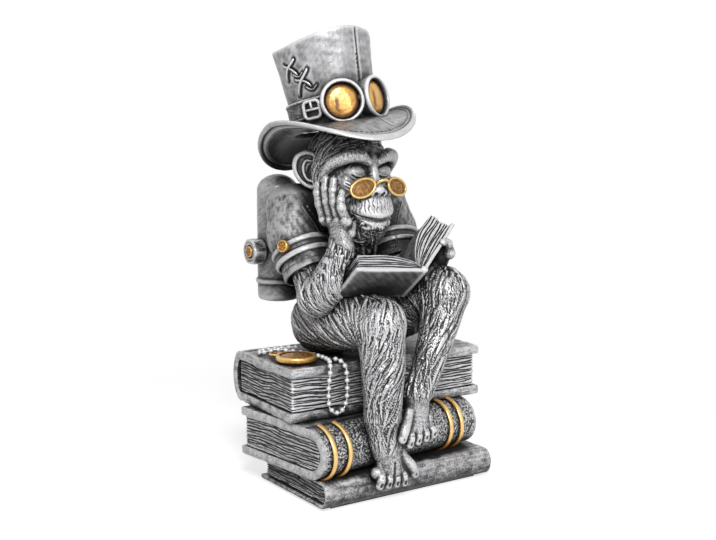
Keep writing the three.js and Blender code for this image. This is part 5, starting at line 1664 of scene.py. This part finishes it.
def arm(side, name):
    lo = vec(-50, -26, 16) if side < 0 else vec(5, -32, 18)
    hi = vec(-17, 26, 90) if side < 0 else vec(40, 30, 62)
    clay = Clay(lo, hi, 0.4)
    elbow, wrist = ELBOW[side], WRIST[side]
    top = between(elbow, SHOULDER[side], 0.42)
    upper = chain([top, elbow], [8.2, 8.2])
    lower = chain([elbow, between(elbow, wrist, 0.35) + vec(0, -2.5, -1), wrist], [8.2, 8.0, 5.2])
    clay.add(upper).add(lower, 2)
    clay.add(egg(elbow + vec(0, 1.5, -1.5), (7.6, 7.4, 7.4)), 2)
    palm = PALM[side]
    if side < 0:
        clay.add(chain([wrist, between(wrist, palm, 0.6), palm], [5.2, 5.4, 4.6],
                       squash=((1, 0, 0), 1.25)), 2)
        clay.add(chain([palm + vec(1.6, -5.0, 2), palm + vec(-3.0, 5.0, 2)], [2.7, 2.7]), 2)
        for i, reach in enumerate((12.5, 18.0, 18.6, 16.0)):
            root = palm + vec(1.4 - 1.75 * i, -5.0 + 3.3 * i, 2.5)
            knuckle = root + vec(-2.3, 0.2, reach * 0.46)
            tip = root + vec(-1.3 - 0.3 * i, 1.6, reach)
            joint = between(knuckle, tip, 0.55) + vec(-0.5, 0, 0)
            finger(clay, [root, knuckle, joint, tip], [2.2, 2.1, 1.95, 1.7], 0.2)
            clay.add(egg(root + vec(-1.0, -0.5, 0.3), (1.9, 1.9, 2.1)), 0.6)
        thumb = [palm + vec(*p) for p in ((1.5, -4, -7), (4, -4.6, -3.5), (6.5, -2.5, 0))]
        finger(clay, thumb, [2.4, 2.3, 2.0], 1.2)
    else:
        clay.add(chain([wrist, between(wrist, palm, 0.6), palm], [5.2, 5.2, 4.6],
                       squash=((1, 0, 0), 1.15)), 2)
        clay.add(chain([palm + vec(0.8, -5.2, 1), palm + vec(0.8, 5, 1)], [2.9, 2.9]), 2)
        for i in range(4):
            root = palm + vec(0.3, -4.9 + 3.4 * i, 1.6)
            knuckle = root + vec(-0.9, -0.8, 4.2)
            finger(clay, [root, knuckle, root + vec(-4.6, -1.2, 5)], [2.2, 2.1, 1.7], 0.7)
            clay.add(egg(root + vec(0.9, 0, 1.2), (2.0, 2.0, 2.1)), 0.8)
        thumb = [palm + vec(*p) for p in ((-1, 3, -5), (-6, 1, -7), (-10, 0, -10))]
        finger(clay, thumb, [2.5, 2.3, 2.0], 1.2)
    for shape in open_blocks():
        clay.cut(shape, 0.4)
    form = clay.skin()
    n = form.normals()
    pinch = vec(-23, -8, 26) if side < 0 else vec(24, -8, 24)

    def flow(p):
        near = smooth_step(0.25, 0.9, share_along(p, elbow, wrist))
        fall = unit(pinch - p) + vec(0, 0, -0.8)
        back = unit(elbow - wrist) + vec(0, -0.2, -0.4)
        return unit(fall) * (1 - 0.6 * near)[:, None] + unit(back) * (0.6 * near)[:, None]
    along = share_along(form.v, elbow, wrist)
    mask = smooth_step(1.12, 0.95, along + 0.05 * wobble(form.v, 5, 2))
    fur = Fur(form, n, flow, mask, name + "arm", length=(8, 15), width=(1.2, 2.1), height=1.6,
              spacing=2.7, pitch=0.95, jitter=0.12)
    short = Fur(form, n, flow, mask, name + "down", length=(4, 7), width=(0.8, 1.3), height=1.2,
                spacing=2.4, jitter=0.2)
    lift, tone = combed(form.v, n, fur, short)
    form.v += n * ((lift - 0.65) * mask + creased(form.v, 2.2) * (1 - mask))[:, None]
    relief = form.relief() + (0.3 * tone + lock_tone(lift, 1.6)) * mask
    is_hand = share_along(form.v[form.f].mean(1), elbow, wrist) > 1.04
    limb_pieces(form, relief, name, (("hand", is_hand), ("forearm", ~is_hand)))


class Limb:
    """A smooth limb through stations (x, y, z, width, depth), as a skin of angle and length."""

    def __init__(self, stations, up):
        self.rows = spline(stations, 400)
        self.up = vec(*up)
        self.ahead = unit(np.gradient(self.rows[:, :3], axis=0))

    def point(self, s, angle, grow=0.0):
        s, angle, grow = np.broadcast_arrays(np.asarray(s, float), angle, grow)
        t = np.clip(s, 0, 1) * (len(self.rows) - 1)
        number = np.arange(len(self.rows))
        at = np.stack([np.interp(t, number, column) for column in self.rows.T], -1)
        ahead = unit(np.stack([np.interp(t, number, column) for column in self.ahead.T], -1))
        side = unit(np.cross(ahead, self.up))
        front = np.cross(side, ahead)
        c, d = np.cos(angle), np.sin(angle)
        return (at[..., :3] + side * (c * (at[..., 3] + grow))[..., None]
                + front * (d * (at[..., 4] + grow))[..., None])


TORSO = Limb([(0, 25, 13, 25, 17), (0, 29, 36, 22, 15), (-1, 29, 58, 26, 16), (-3, 26, 70, 23, 13),
              (-8, 18, 80, 11, 11)], (0, -1, 0))


def sleeve_limb(side):
    top, elbow = SHOULDER[side], ELBOW[side]
    rows = []
    for t, out, back, radius in ((0, 0, 0, 13), (0.3, 2.5, 1.5, 13.2), (0.5, 1.8, 0.8, 12.6),
                                 (0.74, 0.6, 0, 12)):
        rows.append((*(between(top, elbow, t) + vec(side * out, back, 0)), radius, radius))
    return Limb(rows, (0, -1, 0))


def clear_of_tanks(v):
    """Presses cloth and fur in where they would run into a tank."""
    reach = TANK_RADIUS + FIT
    for side, _ in SIDES:
        d = v[:, :2] - vec(side * TANK_X, TANK_Y)
        r = np.linalg.norm(d, axis=1)
        push = (r < reach) & (v[:, 2] > 22) & (v[:, 2] < 86 + FIT)
        v[push, :2] += (d / r[:, None] * (reach - r)[:, None])[push]


def add_torso():
    a = full_turn(150)
    s = np.linspace(0, 1, 120)
    grid = TORSO.point(s[:, None], a[None], -0.6)
    low = TORSO.point(0, a, -0.6)
    base = low.mean(0)
    rows = [base + vec(0, 0, -0.5 * 13 * math.sin(t)) + (low - base) * math.cos(t)
            for t in np.radians((75, 60, 45, 30, 15))]
    form = solid(np.vstack([np.array(rows), grid]))
    form.v[:, 2] = np.maximum(form.v[:, 2], 0.35)
    n = form.normals()
    y, z = form.v.T[1:]
    under_jacket = smooth_step(26, 30, z) * (y > 16)
    mask = smooth_step(0.4, 2.5, z) * (1 - under_jacket)

    def flow(p):
        return np.stack([-0.1 * p[:, 0] / 20, 0 * p[:, 0], -np.ones(len(p))], 1)
    fur = Fur(form, n, flow, mask, "torso", length=(8, 13), width=(1.6, 2.6), height=1.2,
              spacing=2.5)
    form.v += n * (fur.lift(form.v, n)[0] * mask)[:, None]
    clear_of_tanks(form.v)
    piece("torso", form, "fur")


def add_jacket():
    a = np.linspace(math.radians(-255), math.radians(75), 190)
    s = np.concatenate([[0.2], np.linspace(0.21, 0.93, 110), [0.94]])
    sides = []
    for grow in (2.0, 0.35):
        wave = 0.35 * np.sin(5 * a[None] + 3 * s[:, None]) * (1 - s[:, None]) * (grow > 1)
        sides.append(TORSO.point(s[:, None], a[None], grow + wave))
    form = thick_sheet(sides[0], sides[1], 0.4)
    n = form.normals()
    form.uneven((0.35, 16, 3), (0.1, 4, 8), (0.05, 1.8, 9), n=n)
    # A seam down the middle of the back and one down each side
    middle = math.radians(-90)
    back = [TORSO.point(t, middle, 2.2) for t in np.linspace(0.2, 0.94, 30)]
    engrave(form, n, back, 0.5, 0.6, ends=False, lip=0.25)
    for angle in (-150, -30):
        line = [TORSO.point(t, math.radians(angle + 10 * t), 2.2)
                for t in np.linspace(0.2, 0.9, 20)]
        engrave(form, n, line, 0.4, 0.45, ends=False, lip=0.15)
    clear_of_tanks(form.v)

    def out(p):
        return unit((p - vec(0, 29, 0)) * vec(1, 1, 0))
    parts = [form, stitches(TORSO.point(0.222, a, 2.3), out, 2.4, 1.4, 0.24)]
    for off in (-1.4, 1.4):
        line = [TORSO.point(t, middle, 2.25) + vec(off, 0, 0) for t in np.linspace(0.22, 0.9, 40)]
        parts.append(stitches(np.array(line), out, 2.3, 1.3, 0.2))
    piece("jacket", joined(parts), "cloth", crisp=70)

    a = full_turn(130)
    rows = [(0.80, 2.0), (0.80, 3.0), (0.805, 3.9), (0.82, 4.3), (0.86, 4.3), (0.91, 4.1),
            (0.945, 3.9), (0.95, 3.3), (0.95, 2.4), (0.94, 2.0)]
    form = hoop([TORSO.point(s, a, g + 0.2 * np.sin(4 * a + 9 * s)) for s, g in dense(rows, 0.35)])
    form.uneven((0.12, 5, 2))
    piece("jacket_collar", form, "cloth", crisp=70)


def add_sleeve(side, name):
    limb = sleeve_limb(side)
    a = full_turn(150)
    rows = []
    # The round shoulder, the sleeve and its turned-in cuff
    start = limb.point(0, a)
    centre, ahead = start.mean(0), limb.ahead[0]
    for t in np.radians((84, 76, 68, 60, 52, 44, 36, 28, 21, 14, 7)):
        rows.append(centre + (start - centre) * math.cos(t) - ahead * 0.75 * 13 * math.sin(t))
    for s in np.linspace(0, 1, 76):
        flare = 0.7 * smooth_step(0.86, 1.0, s)
        rows.append(limb.point(s, a, flare - 0.15))
    end, last = limb.point(1, a, 0.55), limb.ahead[-1]
    middle = end.mean(0)
    for shrink, on in ((1.0, 0.5), (0.985, 0.75), (0.95, 0.85), (0.91, 0.75), (0.89, 0.3),
                       (0.87, -1.0), (0.86, -2.5)):
        rows.append(middle + (end - middle) * shrink + last * on)
    form = solid(rows)
    n = form.normals()
    s = np.clip(share_along(form.v, centre, middle), -0.3, 1.1)
    x, y = (form.v - centre).T[:2]
    swirl = np.arctan2(x, -y)
    folds = 0.5 * np.sin(7 * s + 2.5 * swirl + 1.5) * smooth_step(-0.2, 0.3, s)
    folds = folds * smooth_step(1.0, 0.6, s)
    form.uneven((0.35, 12, 4), (0.1, 4, 6), (0.02, 1.7, 2), plain=folds, n=n)
    hem = limb.point(0.93, a, 0.6)
    engrave(form, n, np.vstack([hem[::6], hem[:1]]), 0.35, 0.3, ends=False)
    made = joined([form, armhole(side, form)])
    # Cloudy paint, darker beyond the armhole's seam
    beyond = (form.v - SHOULDER[side]) @ ARMHOLE[side] - ARMHOLE_AT
    clouds = 0.14 * wobble(form.v, 9, 31) - 0.02 - 0.3 * smooth_step(0.4, 1.6, beyond)
    relief = made.relief()
    relief[:len(form.v)] += clouds
    relief = np.clip(relief, -1, 0.3)
    piece(f"{name}_sleeve", made, "cloth", crisp=70, relief=relief)

    # The double strap round it, dark between its two raised edges
    rows = [(0.62, 0.3), (0.62, 1.1), (0.63, 1.7), (0.65, 1.85), (0.675, 1.8), (0.69, 1.3),
            (0.70, 0.7), (0.76, 0.7), (0.77, 1.3), (0.785, 1.8), (0.81, 1.85), (0.83, 1.7),
            (0.84, 1.1), (0.84, 0.3)]
    fine = []
    for (s0, g0), (s1, g1) in zip(rows, rows[1:] + rows[:1]):
        count = max(int(max(abs(s1 - s0) * 36, abs(g1 - g0)) / 0.35), 1)
        fine += [(s0 + (s1 - s0) * k / count, g0 + (g1 - g0) * k / count) for k in range(count)]
    form = hoop([limb.point(s, a, g) for s, g in fine])
    form.uneven((0.06, 4, 2), (0.03, 1.5, 2))
    piece(f"{name}_sleeve_strap", form, "strap")

    angle = math.radians(28 if side < 0 else 152)
    spot = limb.point(0.67, angle, 2.0)
    z = unit(limb.point(0.67, angle, 6.0) - spot)
    x = unit(np.cross(vec(0, 0, 1), z))
    m = np.eye(4)
    m[:3, 0], m[:3, 1], m[:3, 2], m[:3, 3] = x, np.cross(z, x), z, spot
    piece(f"{name}_sleeve_stud", stud(1.4), "gold", matrix=m)


# Which way the plane of each armhole looks, and how far it lies from the shoulder's middle
ARMHOLE = {side: unit(vec(-side * 0.80, -0.28, 0.56)) for side, _ in SIDES}
ARMHOLE_AT = 1.0


def armhole(side, form):
    """A corded seam with its threads, where the sleeve is set into the jacket."""
    centre, inward = SHOULDER[side], ARMHOLE[side]
    up = unit(np.cross(inward, vec(0, -1, 0)))
    front = np.cross(up, inward)
    away = form.v - centre - inward * ARMHOLE_AT
    line = []
    for t in np.linspace(-2.4, 1.9, 60):
        # The vertex farthest out in this direction and near it
        radial = up * math.cos(t) * -side + front * math.sin(t)
        out = away @ radial
        score = out - 3.0 * np.linalg.norm(away - out[:, None] * radial, axis=1)
        line.append(form.v[score.argmax()])
    line = even(spline(line[::3], 120), 0.5)
    line = line + unit(line - centre) * 0.1
    threads = stitches(line + inward * 2.0, lambda p: unit(p - centre), 2.2, 1.3, 0.22)
    return joined([tube(line, 0.45, 7), threads])


# Head. In its own frame -Y is the way the face looks.

HEAD = frame_matrix((-12, 8, 87), (4, 0, 2))


def head_clay():
    clay = Clay((-25, -30, -36), (25, 28, 25), 0.36)
    clay.add(egg((0, 3, 2), (17.8, 20.8, 21.8)))
    clay.add(egg((0.5, -8, -14.5), (13.2, 13.5, 12.5)), 3)
    clay.add(egg((0.5, -16.5, -13), (11.2, 9.0, 8.8)), 3)
    clay.add(egg((0.5, -13.5, -21), (10.0, 8.4, 6.6)), 2.5)
    clay.add(egg((0, -14, -26), (8.5, 6.5, 5.5)), 3)
    clay.add(chain([(2, 2, -10), (5, 10, -20)], [13, 11.5]), 3)
    for side in (-1, 1):
        clay.add(egg((side * 9.2, -9.5, -5), (7, 8, 9)), 3)
        clay.cut(egg((0.5 + side * 7.4, -18.6, 2.9), (6.0, 3.6, 4.8)), 1.4)
    for side in (-1, 1):
        clay.add(egg((0.5 + side * 7.0, -13.2, 2.2), (5.9, 4.6, 4.3)), 0.9)
        brow = mirrored(side, [(18.2, -5.5, 0.5), (17.0, -9.5, 5.6), (13.0, -15.2, 9.4),
                               (8.0, -18.2, 10.2), (3.2, -18.6, 7.6)])
        clay.add(chain(brow, [1.6, 2.6, 3.1, 3.0, 1.9]), 1.4)
        cheek = mirrored(side, [(14.5, -11.5, -1.5), (10.5, -16.0, -4.8), (5.5, -18.5, -4.2)])
        clay.add(chain(cheek, [1.5, 2.0, 1.2]), 1.5)
    clay.add(chain([(0, -17.2, 8.5), (0, -18.6, 3), (0, -21.4, -3.5)], [2.3, 2.2, 2.6]), 2.0)
    clay.add(egg((0, -22.9, -5.2), (3.3, 2.8, 2.6)), 1.2)
    for side in (-1, 1):
        clay.add(egg((side * 3.0, -22.3, -6.2), (2.3, 2.5, 1.9), (0, side * 14, 0)), 0.8)
        clay.cut(egg((side * 2.1, -24.6, -7.0), (1.25, 1.5, 0.95), (0, -side * 18, 0)), 0.5)
    # The lips, and the mouth's line between them
    upper = [(-9.8, -18.0, -14.2), (-6, -22.4, -15.6), (0.6, -24.8, -16.4), (7, -22.2, -15.6),
             (10.8, -17.0, -14.2)]
    clay.add(chain(upper, [1.4, 2.1, 2.3, 2.1, 1.4]), 2.0)
    lower = [(-8.6, -18.4, -18.4), (-5, -21.6, -20.3), (0.6, -23.4, -21.3), (6, -21.4, -20.3),
             (9.6, -17.4, -18.4)]
    clay.add(chain(lower, [1.1, 1.7, 1.9, 1.7, 1.1]), 1.2)
    gap = [(-10.2, -18.2, -15.4), (-6, -23.6, -17.9), (0.6, -26.2, -18.9), (7, -23.2, -17.9),
           (11.2, -16.8, -15.4)]
    clay.cut(chain(gap, [0.5, 0.75, 0.85, 0.75, 0.5]), 0.5)
    # The head ends under the hat
    inverse = np.linalg.inv(HEAD) @ HAT
    foot, up = carry(vec(0, 0, -2.6)[None], inverse)[0], inverse[:3, 2]
    clay.cut(plane(foot, -up), 0.5)
    return clay


def on_face(form, n, line, reach=0.8):
    """The points of a line moved along Y to the front of a form."""
    made = []
    for x, y, z in line:
        near = (np.hypot(form.v[:, 0] - x, form.v[:, 2] - z) < reach) & (n[:, 1] < 0.2)
        made.append((x, form.v[near, 1].min() if near.any() else y, z))
    return np.array(made)


def add_head():
    form = head_clay().skin()
    n = form.normals()
    for side in (-1, 1):
        lash = mirrored(side, [(13.2, -14.0, 1.8), (10.8, -17.0, 0.2), (7.8, -18.3, -0.3),
                               (5.0, -17.6, 0.3), (3.0, -16.8, 1.5)])
        fold = mirrored(side, [(13.6, -12.8, 4.2), (11.0, -15.4, 6.0), (7.8, -16.4, 6.6),
                               (5.0, -16.4, 5.9), (3.0, -16.8, 3.8)])
        lash, fold = ([(0.5 + 0.88 * x, y, z) for x, y, z in line] for line in (lash, fold))
        engrave(form, n, on_face(form, n, lash), 0.5, 1.1, lip=0.3)
        engrave(form, n, on_face(form, n, fold), 0.5, 0.7)
        for drop, depth in ((2.2, 0.5), (4.0, 0.35)):
            bag = mirrored(side, [(14.6, -13.2, 0.6 - drop), (11, -17.2, -1.4 - drop),
                                  (7.4, -18.2, -1.2 - drop), (4.6, -18.2, 0.2 - drop)])
            engrave(form, n, on_face(form, n, bag), 0.4, depth, lip=0.15)
        crow = mirrored(side, [(15.5, -12.0, 1.5), (17.5, -8.0, 0.0), (18.8, -4.0, -2.5)])
        engrave(form, n, crow, 0.5, 0.4, lip=0.05)
        smile = mirrored(side, [(4.6, -22.6, -5.0), (8.5, -20.0, -6.6), (12.8, -15.8, -9.8),
                                (15.4, -11.5, -14.5)])
        engrave(form, n, on_face(form, n, smile), 0.7, 0.6, lip=0.15)
        wing = mirrored(side, [(5.2, -21.4, -4.2), (5.6, -22.0, -6.4), (3.6, -23.0, -8.0)])
        engrave(form, n, wing, 0.35, 0.5)
    # Frown lines between the brows and across the forehead
    for x, lean in ((-1.2, -0.5), (1.0, 0.4)):
        line = [(x, -20.2, 5.5), (x + lean, -20.4, 8.5), (x * 2.2, -19.0, 12.0)]
        engrave(form, n, line, 0.35, 0.5)
    skull = 19.5
    for z, depth in ((12.6, 0.55), (14.6, 0.45), (16.8, 0.35)):
        line = []
        for x in np.linspace(-13, 13, 15):
            y = -math.sqrt(max(1 - (x / skull) ** 2, 0)) * skull + 2.6 + (z - 12) * 0.25
            line.append((x, y, z - 0.012 * x * x + 0.5 * math.cos(x)))
        engrave(form, n, line, 0.42, depth, lip=0.2)
    # The long upper lip's wrinkles, from the nose and cheeks down to the mouth
    x, y, z = form.v.T
    around = np.arctan2(x - 0.5, -(y + 9))
    lines = (0.5 + 0.5 * np.cos(50 * around + 3.0 * wobble(form.v, 4.5, 9))) ** 4
    lines *= np.clip(0.75 + 0.6 * wobble(form.v, 3, 13), 0, 1)
    lip = smooth_step(-16.4, -14.8, z) * smooth_step(-7.0, -9.5, z + 0.8 * wobble(form.v, 3, 5))
    lip = lip * smooth_step(-12, -15, y)
    form.v -= n * (0.26 * lines * lip)[:, None]
    # Short upright lines on the lower lip
    for k in range(13):
        t = (k - 6) / 6.4
        at = vec(0.5 + 8.0 * math.sin(1.2 * t), -24.8 + 7.0 * abs(t) ** 1.7, -20.8 + 1.8 * t * t)
        engrave(form, n, [at + vec(0, 0, 1.4), at + vec(0, 0.3, -1.3)], 0.28, 0.3, ends=False, lip=0.1)
    x, y, z = form.v.T
    face = (x / 15.5) ** 2 + np.where(z > -3, ((z + 3) / 17.5) ** 2, ((z + 3) / 19.0) ** 2)
    face += 0.07 * wobble(form.v, 7, 3)
    mask = np.maximum(smooth_step(0.9, 1.2, face), smooth_step(-8.5, -4.5, y))
    over = smooth_step(14.0, 15.5, z) * (y < -4)
    mask = mask * (1 - 0.6 * over * (np.abs(x) < 8))
    # The brows are free of locks and have fine strokes of their own
    for side in (-1, 1):
        brow = mirrored(side, [(18.6, -7.0, 1.5), (17.0, -11.0, 6.4), (13.0, -17.2, 10.2),
                               (8.0, -20.2, 11.0), (3.2, -20.0, 8.4)])
        mask = mask * smooth_step(2.6, 4.6, near_line(form.v, spline(brow, 30))[0])
        hair = near_line(form.v, spline(brow, 60))
        stroke = np.cos(2 * math.pi * hair[1] * 17 + 5.0 * wobble(form.v, 3, 5))
        form.v += n * (0.08 * stroke * smooth_step(3.6, 2.0, hair[0]))[:, None]

    def flow(p):
        sign = np.sign(p[:, 0] + 0.01)
        beard = smooth_step(-19, -24, p[:, 2]) * smooth_step(0, -8, p[:, 1])
        temple = smooth_step(2, 10, p[:, 2]) * smooth_step(2, -10, p[:, 1])
        down = np.stack([0.15 * sign, np.full(len(p), 0.35), -np.ones(len(p))], 1)
        hang = np.stack([0.5 * np.sin(p[:, 0] * 0.9), np.full(len(p), -0.35), -np.ones(len(p))], 1)
        swept = np.stack([1.0 * sign, np.full(len(p), 0.5), np.full(len(p), -0.15)], 1)
        level = down * (1 - beard - temple)[:, None] + hang * beard[:, None]
        return unit(level + swept * temple[:, None])
    long = Fur(form, n, flow, mask, "head", length=(7, 13), width=(1.2, 2.1), height=1.8,
               spacing=2.8, curl=0.5, groove=0.5, jitter=0.18)
    short = Fur(form, n, flow, mask, "scalp", length=(4, 7), width=(0.9, 1.4), height=1.3,
                spacing=2.5, curl=0.6, jitter=0.3)
    chin = mask * smooth_step(-17.5, -20.5, z) * smooth_step(-4, -9, y)
    beard = Fur(form, n, flow, chin, "beard", length=(4.5, 8), width=(1.0, 1.6), height=2.3,
                spacing=2.2, curl=1.6, groove=0.6, jitter=0.5)
    lift, tone = combed(form.v, n, long, short, beard)
    bare = 1 - mask
    bumps = 0.04 * wobble(form.v, 1.6, 3) + 0.1 * wobble(form.v, 4, 8)
    form.v += n * ((lift - 0.45) * mask + bare * bumps)[:, None]
    shade = 0.2 * tone + lock_tone(lift, 1.8) - 0.4 * chin
    relief = form.relief() * (1 - 0.2 * bare) + shade * mask + 0.3 * bare
    piece("head", form, "fur", matrix=HEAD, relief=relief)


def add_ears():
    """Each ear in its own frame, where the head is towards +X on the right ear."""
    for side, name, height in ((-1, "right", 89), (1, "left", 93)):
        f = -side
        clay = Clay((-9, -6, -12), (9, 6, 12), 0.22)
        clay.add(egg((0, 1.0, 0.4), (6.2, 1.7, 9.2)))
        clay.add(egg((f * 3.4, 1.2, -1), (3.2, 2.2, 5.5)), 1)
        # The rolled rim, the hollow of the ear, the valley inside the rim and the ridge inside it
        helix = mirrored(f, [(3.6, -0.6, -0.6), (5.2, -0.9, 3.2), (4.2, -1.0, 7.0), (0.6, -1.1, 9.0),
                             (-3.6, -1.1, 7.6), (-5.6, -1.0, 3.4), (-5.2, -0.9, -1.6),
                             (-3.2, -0.7, -5.8), (-0.6, -0.4, -8.4), (1.6, 0, -9.0)])
        clay.add(chain(helix, [0.9, 1.15, 1.3, 1.4, 1.45, 1.45, 1.4, 1.3, 1.4, 1.5]), 0.4)
        clay.cut(egg((f * 1.9, -1.6, -1.2), (2.9, 2.6, 4.4), (0, f * 12, 0)), 0.6)
        valley = mirrored(f, [(3.2, -1.3, 5.6), (0.2, -1.5, 7.0), (-3.0, -1.5, 5.6),
                              (-4.2, -1.5, 1.6), (-3.4, -1.4, -2.6), (-1.6, -1.2, -6.0)])
        clay.cut(chain(valley, [0.7, 0.95, 1.1, 1.0, 0.9, 0.6]), 0.5)
        ridge = mirrored(f, [(2.6, -0.7, 4.2), (-0.2, -0.9, 4.9), (-1.9, -1.0, 2.4),
                             (-2.2, -1.0, -1.4), (-0.9, -0.9, -4.8), (1.6, -0.7, -6.2)])
        clay.add(chain(ridge, [0.6, 0.75, 0.8, 0.75, 0.7, 0.7]), 0.5)
        clay.add(egg((f * 4.4, -0.9, -1.8), (1.2, 1.2, 1.8)), 0.5)
        form = clay.skin()
        form.uneven((0.06, 1.6, 2), (0.08, 5, 4))
        form.v[:, 2] *= 0.925
        at = frame_matrix((-12.8 + 18.4 * side, 13.8, height), (6, -10, 36 * side))
        # The ears are painted paler all over: painted light, against the shadow that the brim casts on them
        piece(f"{name}_ear", form, "skin", matrix=at, relief=form.relief() + 0.5)


set_stage()
add_books()
add_watch()
add_chain()
add_tanks()
add_hat()
add_spectacles()
add_open_book()
add_torso()
add_jacket()
for side, name in SIDES:
    add_sleeve(side, name)
    leg(side, name)
    arm(side, name)
add_head()
add_ears()
